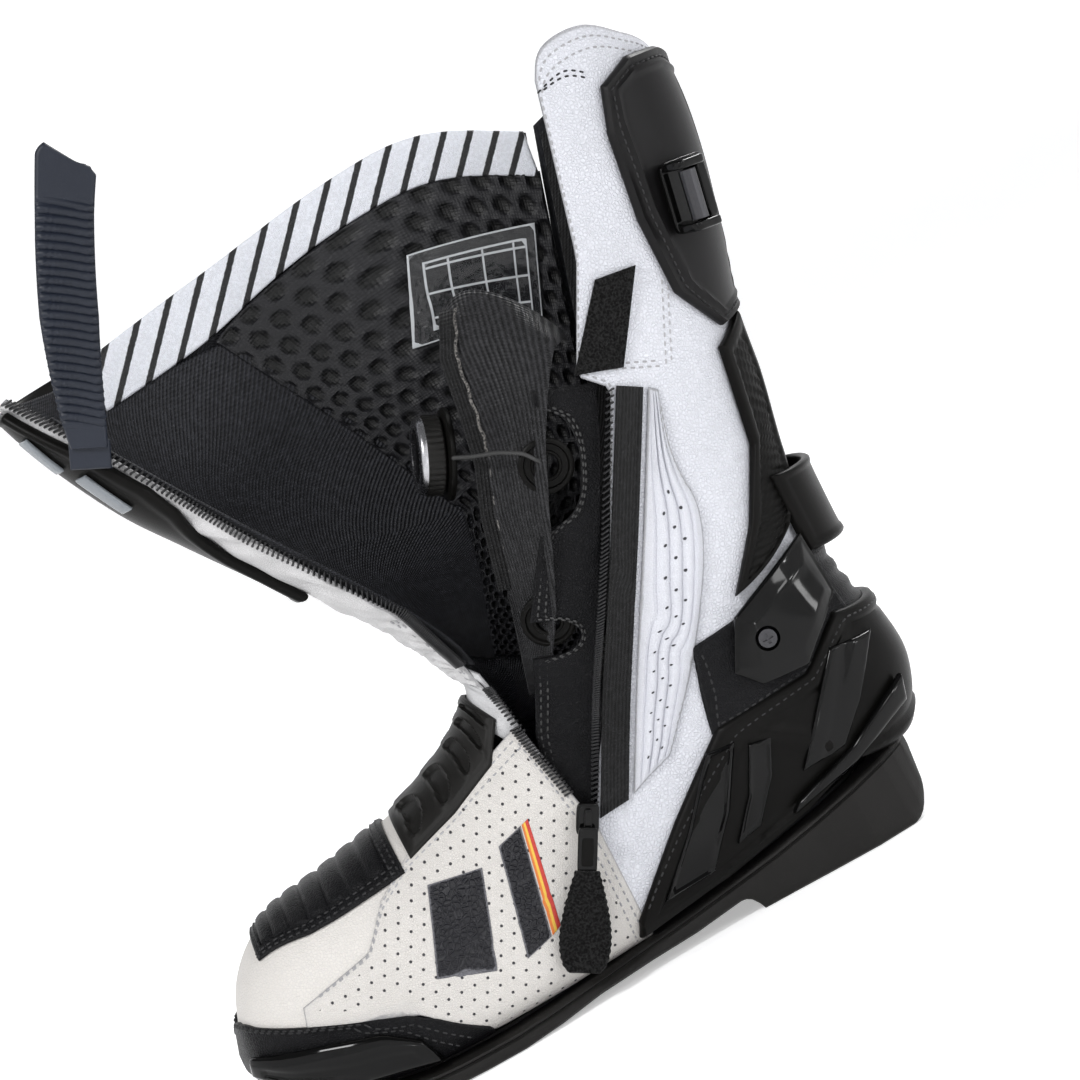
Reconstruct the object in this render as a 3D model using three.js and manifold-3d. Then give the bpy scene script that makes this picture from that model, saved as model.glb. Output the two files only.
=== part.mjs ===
// Motorcycle racing boot, left foot, standing on its sole with the side zip open.
// Millimetres.  Toe towards -X, heel towards +X, outer (lateral) side towards -Y, +Z up.
// The origin is on the ground, under the axis of the ankle screws.
import * as THREE from "three";
import { mergeVertices } from "three/addons/utils/BufferGeometryUtils.js";
import Module from "manifold-3d";

// Driving dimensions.
const ANKLE = [0, 101];
const LEATHER = 2;
const OVERLAY_LOW = 3;
const OVERLAY_HIGH = 5.2;
const LINING_OUT = -1.3;
const LINING_IN = -4;
const STRAP_WIDTH = 24;
const STRAP_THICK = 3;
const STRAP_RIBS = 28;
const DIAL_RADIUS = 17;
const ZIP_FOOT = [-96, 71];
const ZIP_HEAD = [-8, 223];

// Sections of the upper: front point x z, back point x z, half width, front fullness,
// back fullness, where along front to back the section is widest.
const SECTIONS = [
  [-274, 46, -274, 40, 4, 2, 2, 0.5],
  [-262, 74, -266, 27, 27, 2.2, 2.6, 0.6],
  [-240, 91, -243, 18, 41, 2.3, 4, 0.64],
  [-205, 97, -207, 11.5, 48.5, 2.3, 4.5, 0.66],
  [-168, 105, -165, 10.5, 50, 2.2, 4.5, 0.66],
  [-139, 117, -120, 11, 45, 2.2, 4, 0.62],
  [-123, 129, -75, 13.5, 41, 2.2, 3.6, 0.58],
  [-119, 137, -32, 19, 39.5, 2.2, 3.2, 0.56],
  [-120, 143, 6, 27, 39.5, 2.2, 3, 0.56],
  [-122, 148, 31, 37, 40, 2.2, 2.8, 0.55],
  [-124, 153, 44, 60, 40.5, 2.2, 2.6, 0.55],
  [-127, 160, 43, 84, 41.5, 2.2, 2.5, 0.55],
  [-131, 167, 38, 110, 43, 2.3, 2.4, 0.55],
  [-137, 178, 38, 138, 46, 2.4, 2.4, 0.55],
  [-147, 192, 40, 163, 49, 2.5, 2.4, 0.54],
  [-168, 222, 46, 193, 51, 2.5, 2.4, 0.54],
  [-188, 250, 52, 226, 52, 2.5, 2.4, 0.54],
  [-205, 275, 63, 262, 53, 2.5, 2.4, 0.54],
  [-222, 310, 72, 303, 54, 2.5, 2.4, 0.54],
  [-232, 340, 75, 345, 55, 2.5, 2.4, 0.54],
  [-238, 364, 76, 385, 55, 2.5, 2.4, 0.54],
];

const COLOURS = {
  white_leather: ["#e9e9ea", 0.48, 0],
  black_leather: ["#161616", 0.55, 0],
  black_rubber: ["#121212", 0.72, 0],
  sole_rubber: ["#171717", 0.78, 0],
  gloss_plastic: ["#08080a", 0.14, 0],
  satin_plastic: ["#0f0f10", 0.35, 0],
  mesh_lining: ["#101012", 0.95, 0],
  knit_lining: ["#0c0c0d", 0.95, 0],
  striped_leather: ["#dcdcdd", 0.55, 0],
  zip_tape: ["#141415", 0.9, 0],
  zip_teeth: ["#1c1c1e", 0.45, 0],
  hook_fabric: ["#0d0d0d", 1, 0],
  clear_plastic: ["#8d9496", 0.2, 0],
  screw_steel: ["#2b2b2d", 0.35, 0.9],
  dial_metal: ["#a9a9ad", 0.3, 0.9],
};

const parts = new THREE.Group();
parts.name = "riding_boot";

function finish(name, slot, geometry) {
  const [color, roughness, metalness] = COLOURS[slot];
  const material = new THREE.MeshStandardMaterial({ color, roughness, metalness });
  material.name = slot;
  geometry.deleteAttribute("normal");
  geometry.deleteAttribute("uv");
  const merged = mergeVertices(geometry, 1e-4);
  if (volume(merged) < 0) {
    const index = merged.index.array;
    for (let i = 0; i < index.length; i += 3) {
      [index[i], index[i + 1]] = [index[i + 1], index[i]];
    }
  }
  merged.computeVertexNormals();
  const mesh = new THREE.Mesh(merged, material);
  mesh.name = name;
  parts.add(mesh);
  return mesh;
}

function volume(geometry) {
  const p = geometry.attributes.position;
  const index = geometry.index.array;
  const a = new THREE.Vector3();
  const b = new THREE.Vector3();
  const c = new THREE.Vector3();
  let sum = 0;
  for (let i = 0; i < index.length; i += 3) {
    a.fromBufferAttribute(p, index[i]);
    b.fromBufferAttribute(p, index[i + 1]);
    c.fromBufferAttribute(p, index[i + 2]);
    sum += a.dot(b.cross(c));
  }
  return sum / 6;
}

// The smooth section at a station counted along the list above.
function section(t) {
  const last = SECTIONS.length - 1;
  const clamped = Math.min(Math.max(t, 0), last);
  const i = Math.min(Math.floor(clamped), last - 1);
  const k = clamped - i;
  const rows = [i - 1, i, i + 1, i + 2].map((j) => SECTIONS[Math.min(Math.max(j, 0), last)]);
  return rows[0].map((_, c) => {
    const [p, q, r, s] = rows.map((row) => row[c]);
    const m = (r - p) / 2;
    const n = (s - q) / 2;
    const k2 = k * k;
    const k3 = k2 * k;
    return (2 * k3 - 3 * k2 + 1) * q + (k3 - 2 * k2 + k) * m + (3 * k2 - 2 * k3) * r + (k3 - k2) * n;
  });
}

// A point of the upper: station t, angle in degrees from the front (0) by the outer side (90)
// to the back or the sole (180); negative angles and those past 180 are the inner side.
function skin(t, degrees) {
  const [fx, fz, bx, bz, w, nf, nb, wide] = section(t);
  const angle = (degrees * Math.PI) / 180;
  const c = Math.cos(angle);
  const s = Math.sin(angle);
  const n = c >= 0 ? nf : nb;
  const along = c >= 0
    ? wide * (1 - Math.pow(c, 2 / n))
    : wide + (1 - wide) * Math.pow(-c, 2 / n);
  const y = -Math.sign(s) * w * Math.pow(Math.abs(s), 2 / n);
  return new THREE.Vector3(fx + (bx - fx) * along, y, fz + (bz - fz) * along);
}

function skinNormal(t, degrees) {
  const a = skin(t - 0.04, degrees).sub(skin(t + 0.04, degrees));
  const b = skin(t, degrees - 1.5).sub(skin(t, degrees + 1.5));
  const normal = a.cross(b).normalize();
  const [fx, fz, bx, bz, , , , wide] = section(t);
  const middle = new THREE.Vector3(fx + (bx - fx) * wide, 0, fz + (bz - fz) * wide);
  return normal.dot(skin(t, degrees).sub(middle)) < 0 ? normal.negate() : normal;
}

function raised(t, degrees, height) {
  return skin(t, degrees).addScaledVector(skinNormal(t, degrees), height);
}

// Station and angle of the outer-side point seen at x z from the side.
function outer(x, z) {
  const sideOf = (t) => {
    const [fx, fz, bx, bz] = section(t);
    return (bx - fx) * (z - fz) - (bz - fz) * (x - fx);
  };
  let low = 0;
  let high = SECTIONS.length - 1;
  let best = low;
  let bestValue = Infinity;
  for (let t = low; t <= high; t += 0.1) {
    const value = sideOf(t);
    const next = sideOf(t + 0.1);
    if (value <= 0 !== next <= 0) {
      const [fx, fz, bx, bz] = section(t);
      const share = ((x - fx) * (bx - fx) + (z - fz) * (bz - fz))
        / ((bx - fx) ** 2 + (bz - fz) ** 2);
      const miss = Math.abs(share - 0.5);
      if (miss < bestValue) {
        bestValue = miss;
        best = t;
      }
    }
  }
  low = best;
  high = best + 0.1;
  const sign = Math.sign(sideOf(low)) || 1;
  for (let i = 0; i < 20; i++) {
    const mid = (low + high) / 2;
    if (Math.sign(sideOf(mid)) === sign) low = mid;
    else high = mid;
  }
  const t = (low + high) / 2;
  const [fx, fz, bx, bz, , nf, nb, wide] = section(t);
  let share = ((x - fx) * (bx - fx) + (z - fz) * (bz - fz)) / ((bx - fx) ** 2 + (bz - fz) ** 2);
  share = Math.min(Math.max(share, 0.0005), 0.9995);
  const cosine = share < wide
    ? Math.pow(1 - share / wide, nf / 2)
    : -Math.pow((share - wide) / (1 - wide), nb / 2);
  return [t, (Math.acos(cosine) * 180) / Math.PI];
}

// Side-view lines, cut fine and mapped to stations and angles.
function outerLine(points) {
  const line = [];
  for (let i = 0; i + 1 < points.length; i++) {
    const [x0, z0] = points[i];
    const [x1, z1] = points[i + 1];
    const steps = Math.max(1, Math.round(Math.hypot(x1 - x0, z1 - z0) / 5));
    for (let k = 0; k < steps; k++) {
      line.push(outer(x0 + ((x1 - x0) * k) / steps, z0 + ((z1 - z0) * k) / steps));
    }
  }
  line.push(outer(...points[points.length - 1]));
  return line;
}

const innerFront = (line) => line.map(([t, a]) => [t, -a]);
const innerBack = (line) => line.map(([t, a]) => [t, 360 - a]);
const joined = (...lines) => lines.flat();
const reversed = (line) => [...line].reverse();

function along(line, share) {
  const lengths = [0];
  for (let i = 1; i < line.length; i++) {
    const step = Math.hypot(20 * (line[i][0] - line[i - 1][0]), line[i][1] - line[i - 1][1]);
    lengths.push(lengths[i - 1] + step);
  }
  const goal = share * lengths[lengths.length - 1];
  let i = 1;
  while (i < line.length - 1 && lengths[i] < goal) i++;
  const k = (goal - lengths[i - 1]) / (lengths[i] - lengths[i - 1] || 1);
  return [0, 1].map((c) => line[i - 1][c] + (line[i][c] - line[i - 1][c]) * k);
}

// Stations and angles inside four edges: low and high run with u, left and right with v.
function filled({ left, right, low, high }) {
  const bottom = low ?? [left[0], right[0]];
  const top = high ?? [left[left.length - 1], right[right.length - 1]];
  return (u, v) => {
    const l = along(left, v);
    const r = along(right, v);
    const b = along(bottom, u);
    const h = along(top, u);
    const b0 = along(bottom, 0);
    const b1 = along(bottom, 1);
    const h0 = along(top, 0);
    const h1 = along(top, 1);
    return [0, 1].map((c) => (1 - v) * b[c] + v * h[c] + (1 - u) * l[c] + u * r[c]
      - (1 - u) * (1 - v) * b0[c] - u * (1 - v) * b1[c] - (1 - u) * v * h0[c] - u * v * h1[c]);
  };
}

// A closed solid between two grids of points.
function between(nu, nv, upper, lower) {
  const points = [];
  const index = [];
  const id = (side, i, j) => side * (nu + 1) * (nv + 1) + i * (nv + 1) + j;
  for (const surface of [upper, lower]) {
    for (let i = 0; i <= nu; i++) {
      for (let j = 0; j <= nv; j++) {
        const p = surface(i / nu, j / nv);
        points.push(p.x, p.y, p.z);
      }
    }
  }
  const quad = (a, b, c, d) => index.push(a, b, c, a, c, d);
  for (let i = 0; i < nu; i++) {
    for (let j = 0; j < nv; j++) {
      quad(id(0, i, j), id(0, i + 1, j), id(0, i + 1, j + 1), id(0, i, j + 1));
      quad(id(1, i, j), id(1, i, j + 1), id(1, i + 1, j + 1), id(1, i + 1, j));
    }
  }
  for (let i = 0; i < nu; i++) {
    quad(id(0, i + 1, 0), id(0, i, 0), id(1, i, 0), id(1, i + 1, 0));
    quad(id(0, i, nv), id(0, i + 1, nv), id(1, i + 1, nv), id(1, i, nv));
  }
  for (let j = 0; j < nv; j++) {
    quad(id(0, 0, j), id(0, 0, j + 1), id(1, 0, j + 1), id(1, 0, j));
    quad(id(0, nu, j + 1), id(0, nu, j), id(1, nu, j), id(1, nu, j + 1));
  }
  const geometry = new THREE.BufferGeometry();
  geometry.setAttribute("position", new THREE.Float32BufferAttribute(points, 3));
  geometry.setIndex(index);
  return geometry;
}

function panel(name, slot, edges, nu, nv, low, high) {
  const at = typeof edges === "function" ? edges : filled(edges);
  const upper = (u, v) => raised(...at(u, v), typeof high === "function" ? high(u, v) : high);
  const lower = (u, v) => raised(...at(u, v), low);
  return finish(name, slot, between(nu, nv, upper, lower));
}

function mirrored(name, source) {
  const geometry = source.geometry.clone();
  geometry.scale(1, -1, 1);
  return finish(name, source.material.name, geometry);
}

// A frame standing on the outer skin at a side-view point.
function standOn(t, degrees, height, upward) {
  const normal = skinNormal(t, degrees);
  const up = upward.clone().addScaledVector(normal, -upward.dot(normal)).normalize();
  const across = up.clone().cross(normal);
  const matrix = new THREE.Matrix4().makeBasis(across, up, normal);
  matrix.setPosition(raised(t, degrees, height));
  return matrix;
}

function block(width, height, depth, x, y, z) {
  const geometry = new THREE.BoxGeometry(width, height, depth);
  geometry.translate(x, y, z);
  return geometry;
}

function disc(radius, depth, z, sides = 20) {
  const geometry = new THREE.CylinderGeometry(radius, radius, depth, sides);
  geometry.rotateX(Math.PI / 2);
  geometry.translate(0, 0, z);
  return geometry;
}

const wasm = await Module();
wasm.setup();

function solid(geometry) {
  const copy = geometry.clone();
  copy.deleteAttribute("normal");
  copy.deleteAttribute("uv");
  const merged = mergeVertices(copy, 1e-4);
  return new wasm.Manifold(new wasm.Mesh({
    numProp: 3,
    vertProperties: new Float32Array(merged.attributes.position.array),
    triVerts: new Uint32Array(merged.index.array),
  }));
}

function geometryOf(manifold) {
  const mesh = manifold.getMesh();
  const geometry = new THREE.BufferGeometry();
  geometry.setAttribute("position", new THREE.Float32BufferAttribute(mesh.vertProperties, 3));
  geometry.setIndex(Array.from(mesh.triVerts));
  return geometry;
}

// The sole, its board and the footbed: half width, top and bottom against x.
const SOLE = [
  [-275, 7, 32, 26.5], [-271, 18, 28.5, 22.5], [-262, 29, 23.5, 16.5], [-250, 37, 18.5, 11],
  [-238, 43, 14.8, 7], [-222, 48, 11.5, 3.4], [-206, 50.5, 9.4, 1], [-195, 51.5, 8.8, 0.3],
  [-185, 51.5, 8.6, 0], [-168, 51, 8.5, 0], [-150, 48, 9.2, 1.2], [-131, 43.5, 10.4, 3.3],
  [-105, 38.5, 12.2, 4.4], [-84, 36, 14, 5], [-62, 35, 16.6, 7.4], [-54, 35, 17.6, 0],
  [-40, 35.3, 19.6, 0], [-20, 36.3, 23.5, 0], [0, 36.5, 28, 0], [17, 32, 32, 0],
  [23, 28, 33.4, 6], [28, 22, 34.2, 18], [31, 14, 34.6, 28],
];

function soleAt(x) {
  let i = 1;
  while (i < SOLE.length - 1 && SOLE[i][0] < x) i++;
  const [a, b] = [SOLE[i - 1], SOLE[i]];
  const k = (x - a[0]) / (b[0] - a[0]);
  return a.map((value, c) => value + (b[c] - value) * k);
}

function makeSole() {
  const ring = (share) => {
    const [x, w, top, bottom] = SOLE[share];
    return [
      [x, -w, top], [x, -w - 1.2, top - 3], [x, -w - 0.4, bottom + 1.5], [x, -w + 2, bottom],
      [x, w - 2, bottom], [x, w + 0.4, bottom + 1.5], [x, w + 1.2, top - 3], [x, w, top],
    ];
  };
  const points = [];
  const index = [];
  const count = SOLE.length;
  for (let i = 0; i < count; i++) ring(i).forEach((p) => points.push(...p));
  for (let i = 0; i + 1 < count; i++) {
    for (let k = 0; k < 8; k++) {
      const a = i * 8 + k;
      const b = i * 8 + ((k + 1) % 8);
      index.push(a, b, b + 8, a, b + 8, a + 8);
    }
  }
  for (let k = 1; k < 7; k++) {
    index.push(0, k + 1, k);
    const e = (count - 1) * 8;
    index.push(e, e + k, e + k + 1);
  }
  const geometry = new THREE.BufferGeometry();
  geometry.setAttribute("position", new THREE.Float32BufferAttribute(points, 3));
  geometry.setIndex(index);
  finish("outsole", "sole_rubber", geometry);

  const layer = (inset, from, to, start, end) => {
    const place = (height) => (u, v) => {
      const x = start + (end - start) * u;
      const [, w, top] = soleAt(x);
      const blunt = Math.min(1, Math.sqrt(Math.min(u, 1 - u) * 12 + 0.05));
      return new THREE.Vector3(x, (2 * v - 1) * Math.max(w - inset, 3) * blunt, top + height);
    };
    return between(14, 2, place(to), place(from));
  };
  finish("midsole_board", "black_rubber", layer(12, 0.5, 2.6, -256, 20));
  finish("footbed", "knit_lining", layer(13, 3.4, 7.5, -250, 16));
}

// Foot: the upper from toe to heel.
const RAND_EDGE = [[-270, 62], [-243, 51], [-220, 43], [-200, 35], [-187, 24], [-176, 16.5]];
const VAMP_SEAM = [[-243, 55], [-233, 61], [-203, 67], [-192, 80], [-174, 92]];

function stationAt(line, degrees) {
  const sorted = [...line].sort((a, b) => a[1] - b[1]);
  if (degrees <= sorted[0][1]) return sorted[0][0];
  for (let i = 1; i < sorted.length; i++) {
    if (degrees <= sorted[i][1]) {
      const k = (degrees - sorted[i - 1][1]) / (sorted[i][1] - sorted[i - 1][1]);
      return sorted[i - 1][0] + (sorted[i][0] - sorted[i - 1][0]) * k;
    }
  }
  return sorted[sorted.length - 1][0];
}

function makeToe() {
  const rand = outerLine(RAND_EDGE);
  const seam = outerLine(VAMP_SEAM);
  panel("toe_rand", "black_rubber", (u, v) => {
    const a = -139 + 278 * u;
    return [0.12 + (stationAt(rand, Math.abs(a)) - 0.12) * v, a];
  }, 24, 5, 0, LEATHER + 0.6);
  panel("toe_box", "white_leather", (u, v) => {
    const a = -84 + 168 * u;
    const start = stationAt(rand, Math.abs(a)) + 0.07;
    return [start + (stationAt(seam, Math.abs(a)) - 0.06 - start) * v, a];
  }, 16, 6, 0, LEATHER);
  panel("shift_pad", "black_rubber", {
    left: [[1.75, -36], [2.5, -44], [3.75, -46]],
    right: [[1.75, 36], [2.5, 44], [3.75, 46]],
  }, 10, 8, OVERLAY_LOW, OVERLAY_HIGH);
  panel("toe_slider", "gloss_plastic", {
    left: outerLine([[-268, 41], [-266, 48]]),
    right: outerLine([[-199, 17], [-203, 26]]),
    low: outerLine([[-268, 41], [-255, 32], [-235, 24], [-199, 17]]),
    high: outerLine([[-266, 48], [-240, 42], [-216, 35], [-203, 26]]),
  }, 12, 3, OVERLAY_LOW + 0.6, 8);
}

function makeVamp() {
  const low = outerLine([[-240, 54], [-221, 46.5], [-198, 38.5], [-184, 27], [-173, 18.5],
    [-140, 17.5], [-110, 18.5]]);
  const front = outerLine([[-240, 54], [-237, 56.5]]);
  panel("vamp_lateral", "white_leather", {
    left: front,
    right: outerLine([[-110, 18.5], [-103, 66], [-107, 104], [-110, 118]]),
    low,
    high: outerLine([[-237, 56.5], [-203, 63.5], [-189, 79], [-172, 88.5], [-147, 97], [-123, 107],
      [-110, 118]]),
  }, 16, 6, 0, LEATHER);
  const medial = {
    left: front,
    right: outerLine([[-104, 19.5], [-87, 60], [-90, 112]]),
    low: [...low.slice(0, -1), ...outerLine([[-110, 19], [-104, 19.5]])],
    high: outerLine([[-237, 56.5], [-203, 63.5], [-189, 79], [-172, 88.5], [-147, 97], [-122, 107],
      [-90, 112]]),
  };
  for (const key of Object.keys(medial)) medial[key] = innerFront(medial[key]);
  panel("vamp_medial", "white_leather", medial, 16, 6, 0, LEATHER);
  const edge = outerLine([[-170, 91], [-146, 99.5], [-125, 110], [-114, 122]]);
  panel("instep_flex_panel", "black_rubber", {
    left: innerFront(edge),
    right: edge,
  }, 10, 12, 0, (u, v) => 2.6 + 1.2 * Math.cos(v * Math.PI * 12));
}

// A back-wrapping band: the outer edge lines are repeated on the inner side.
function band(low, high) {
  return {
    left: [low[0], high[0]],
    right: innerBack([low[0], high[0]]),
    low: joined(low, reversed(innerBack(low.slice(0, -1)))),
    high: joined(high, reversed(innerBack(high.slice(0, -1)))),
  };
}

function makeHeel() {
  const low = joined(outerLine([[-99, 20], [-60, 24], [-20, 31], [8, 39]]), [[9.75, 180]]);
  const high = joined(outerLine([[-82, 90], [-45, 94], [0, 97], [25, 98.5]]), [[11.55, 180]]);
  panel("quarter_lower", "white_leather", band(low, high), 24, 5, 0, LEATHER);
  const counterLow = joined(outerLine([[-106, 18.5], [-60, 23], [-20, 31], [7, 39.5]]), [[9.8, 180]]);
  const counterHigh = joined(
    outerLine([[-103, 24], [-70, 52], [-36, 78], [6, 80], [26, 95]]),
    [[11.3, 180]],
  );
  panel("heel_counter", "satin_plastic", band(counterLow, counterHigh), 26, 5,
    OVERLAY_LOW, OVERLAY_HIGH + 0.6);
  const windowInsert = panel("heel_window_lateral", "gloss_plastic", {
    left: outerLine([[-86, 28], [-42, 68]]),
    right: outerLine([[-58, 30], [-26, 68]]),
  }, 3, 7, 6.6, 8);
  mirrored("heel_window_medial", windowInsert);
  const insert = panel("heel_insert_lateral", "gloss_plastic", {
    left: outerLine([[-16, 48], [16, 78]]),
    right: outerLine([[10, 50], [37, 76]]),
  }, 4, 6, 6.6, 8.6);
  mirrored("heel_insert_medial", insert);
  panel("heel_slider", "satin_plastic", {
    left: outerLine([[-26, 34], [-22, 37]]),
    right: outerLine([[33, 50], [36, 60]]),
    low: outerLine([[-26, 34], [6, 40], [33, 50]]),
    high: outerLine([[-22, 37], [8, 46], [36, 60]]),
  }, 8, 3, 6.6, 10);
  const pad = panel("ankle_pad_lateral", "black_leather", {
    left: outerLine([[-35, 84], [-27, 111]]),
    right: outerLine([[8, 86], [6, 109]]),
  }, 5, 4, OVERLAY_LOW, OVERLAY_HIGH);
  mirrored("ankle_pad_medial", pad);
}

// Ankle brace on both sides, turning about the screws.
function makeBrace() {
  const cup = panel("ankle_cup_lateral", "gloss_plastic", {
    left: outerLine([[-19, 95], [-9, 115]]),
    right: outerLine([[28, 101], [27, 131]]),
    low: outerLine([[-19, 95], [-11, 85], [8, 83], [28, 101]]),
    high: outerLine([[-9, 115], [27, 131]]),
  }, 8, 6, 6.6, (u, v) => 10 + 1.6 * Math.sin(Math.PI * u) * Math.sin(Math.PI * v));
  const matrix = new THREE.Matrix4().makeBasis(
    new THREE.Vector3(1, 0, 0),
    new THREE.Vector3(0, 0, 1),
    new THREE.Vector3(0, -1, 0),
  );
  matrix.setPosition(ANKLE[0], raised(...outer(...ANKLE), 0).y, ANKLE[1]);
  const cupHole = disc(4.4, 20, 10, 24);
  cupHole.applyMatrix4(matrix);
  parts.remove(cup);
  const cupBody = solid(cup.geometry).subtract(solid(cupHole));
  const lateral = finish("ankle_cup_lateral", "gloss_plastic", geometryOf(cupBody));
  mirrored("ankle_cup_medial", lateral);
  const screw = disc(3.9, 5.4, 9.4, 20);
  const slots = [block(4.6, 1.1, 2, 0, 0, 12), block(1.1, 4.6, 2, 0, 0, 12)];
  const screwBody = slots.reduce((body, slot) => body.subtract(solid(slot)), solid(screw));
  const screwShape = geometryOf(screwBody);
  screwShape.applyMatrix4(matrix);
  const screwMesh = finish("ankle_screw_lateral", "screw_steel", screwShape);
  mirrored("ankle_screw_medial", screwMesh);
  const arm = panel("brace_arm_lateral", "satin_plastic", {
    left: outerLine([[-4, 122], [14, 144], [30, 172], [38, 214]]),
    right: joined(outerLine([[27, 136], [36, 150]]), [[14, 168], [15.2, 172], [15.9, 170]]),
  }, 5, 10, OVERLAY_LOW, 7);
  mirrored("brace_arm_medial", arm);
  panel("achilles_loop", "gloss_plastic", {
    left: outerLine([[30, 124], [32, 158]]),
    right: innerBack(outerLine([[30, 124], [32, 158]])),
    low: joined(outerLine([[30, 124]]), [[12.0, 180]], innerBack(outerLine([[30, 124]]))),
    high: joined(outerLine([[32, 158]]), [[13.9, 180]], innerBack(outerLine([[32, 158]]))),
  }, 16, 3, 10, 12.6);
}

// Shaft: the back of the leg, its panels and fittings.
const FRONT_EDGE = [[-68, 112], [-7, 222], [-17, 233], [6, 275], [27, 346]];

function makeShaft() {
  const low = joined(outerLine([[-68, 112], [-30, 109], [10, 107], [25, 107]]), [[12.0, 180]]);
  const lowBack = innerBack(joined(outerLine([[-66, 122], [-30, 112], [10, 107], [25, 107]])));
  const high = joined(outerLine([[27, 346], [36, 357], [50, 361], [64, 357]]), [[19.3, 180]]);
  const highBack = innerBack(outerLine([[20, 326], [40, 338], [60, 346]]));
  panel("quarter_upper", "white_leather", {
    left: outerLine(FRONT_EDGE),
    right: innerBack(outerLine([[-66, 122], [-22, 200], [20, 326]])),
    low: joined(low, reversed(lowBack)),
    high: joined(high, reversed(highBack)),
  }, 18, 12, 0, LEATHER);
  panel("rear_lining", "knit_lining", {
    left: outerLine([[-50, 128], [-6, 214], [8, 270], [30, 340]]),
    right: innerBack(outerLine([[-58, 128], [-18, 200], [22, 322]])),
    low: joined(outerLine([[-50, 128], [0, 116]]), [[12.6, 180]],
      reversed(innerBack(outerLine([[-58, 128], [0, 116]])))),
    high: joined(outerLine([[30, 340], [50, 350]]), [[18.9, 180]],
      reversed(innerBack(outerLine([[22, 322], [50, 336]])))),
  }, 12, 8, LINING_IN, LINING_OUT);
  panel("quilted_panel", "white_leather", {
    left: outerLine([[-79, 70], [6, 215]]),
    right: outerLine([[-72, 70], [-29, 108], [2, 160], [0, 185], [10, 212]]),
  }, 5, 14, OVERLAY_LOW, (u) => OVERLAY_HIGH - 0.5 + 0.7 * Math.abs(Math.sin(Math.PI * 2.5 * u)));
  panel("zip_tape_rear", "zip_tape", {
    left: outerLine([[-96, 68], [-5, 222]]),
    right: outerLine([[-82, 69], [4, 216]]),
  }, 3, 14, OVERLAY_LOW, 4.2);
  panel("hook_patch", "hook_fabric", {
    left: outerLine([[-18, 234], [8, 264]]),
    right: outerLine([[1, 227], [25, 261]]),
  }, 3, 4, OVERLAY_LOW, 4.6);
  panel("calf_plate", "satin_plastic", {
    left: outerLine([[43, 221], [33, 243], [34, 276], [40, 312], [47, 331]]),
    right: [[16.0, 188], [17.2, 190], [18.5, 188]],
    low: joined(outerLine([[43, 221]]), [[16.0, 188]]),
  }, 8, 10, OVERLAY_LOW, 6.6);
}

// Straight line of the rear zip, used by its teeth and by the slider.
const zipStart = raised(...outer(...ZIP_FOOT), 2).add(new THREE.Vector3(-4, -1.5, 1));
const zipEnd = raised(...outer(...ZIP_HEAD), 2).add(new THREE.Vector3(-4, -1.5, 1));
const zipWay = zipEnd.clone().sub(zipStart).normalize();

function zipFrame(distance) {
  const normal = new THREE.Vector3(0, -1, 0);
  normal.addScaledVector(zipWay, -normal.dot(zipWay)).normalize();
  const across = zipWay.clone().cross(normal);
  const matrix = new THREE.Matrix4().makeBasis(across, zipWay, normal);
  matrix.setPosition(zipStart.clone().addScaledVector(zipWay, distance));
  return matrix;
}

function makeZip() {
  const length = zipEnd.distanceTo(zipStart);
  const teeth = new THREE.BoxGeometry(3, length, 2.4, 1, 12, 1);
  teeth.applyMatrix4(zipFrame(length / 2));
  finish("zip_teeth_rear", "zip_teeth", teeth);
  const body = block(9, 13, 3.4, 0, -3, 3.6);
  const bridge = block(3.2, 9, 2.4, 0, -3, 6.3);
  const shape = geometryOf(solid(body).add(solid(bridge)));
  shape.applyMatrix4(zipFrame(2));
  finish("zip_slider", "zip_teeth", shape);
  const bar = block(7, 20, 2, 0, -14, 9);
  bar.applyMatrix4(zipFrame(2));
  finish("pull_bar", "gloss_plastic", bar);
  const tab = between(4, 6, ...[1.1, -0.9].map((h) => (u, v) => {
    const half = 5 + 6 * Math.sin(Math.min(1, v * 1.25) * Math.PI * 0.5) * Math.sqrt(1.02 - v ** 6);
    return new THREE.Vector3((2 * u - 1) * half, -25 - 42 * v, 9 + h);
  }));
  tab.applyMatrix4(zipFrame(2));
  finish("pull_tab", "hook_fabric", tab);
  panel("zip_teeth_front", "zip_teeth", {
    left: outerLine([[-115, 150], [-126, 184], [-165, 238], [-201, 300], [-225, 336]]),
    right: outerLine([[-111.5, 150], [-122.5, 184], [-161.5, 238], [-197.5, 300], [-221.5, 336]]),
  }, 1, 22, 2.8, 4.8);
  panel("zip_teeth_instep", "zip_teeth", {
    left: outerLine([[-104, 82], [-108, 104], [-110, 116]]),
    right: outerLine([[-100.5, 82], [-104.5, 104], [-106.5, 116]]),
  }, 1, 6, 2.8, 4.8);
}

function makeCatch() {
  const matrix = standOn(17.35, 152, 7.4, new THREE.Vector3(0.2, 0, 1));
  const base = solid(block(26, 30, 3, 0, 0, 1.5))
    .add(solid(block(22, 4, 15, -2, 13, 7.5)))
    .add(solid(block(22, 4, 15, -2, -13, 7.5)));
  const shape = geometryOf(base);
  shape.applyMatrix4(matrix);
  finish("catch_base", "gloss_plastic", shape);
  const roller = new THREE.CylinderGeometry(3.6, 3.6, 20.6, 14);
  roller.translate(-7, 0, 11);
  roller.applyMatrix4(matrix);
  finish("catch_roller", "satin_plastic", roller);
}

// Front of the leg, folded forward.
const SHIN_EDGE = [[-114, 143], [-126, 184], [-165, 238], [-201, 300], [-225, 336]];
const SHIN_INNER = [[-106, 147], [-92, 170], [-85, 195], [-112, 250], [-146, 308], [-150, 334]];

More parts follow.
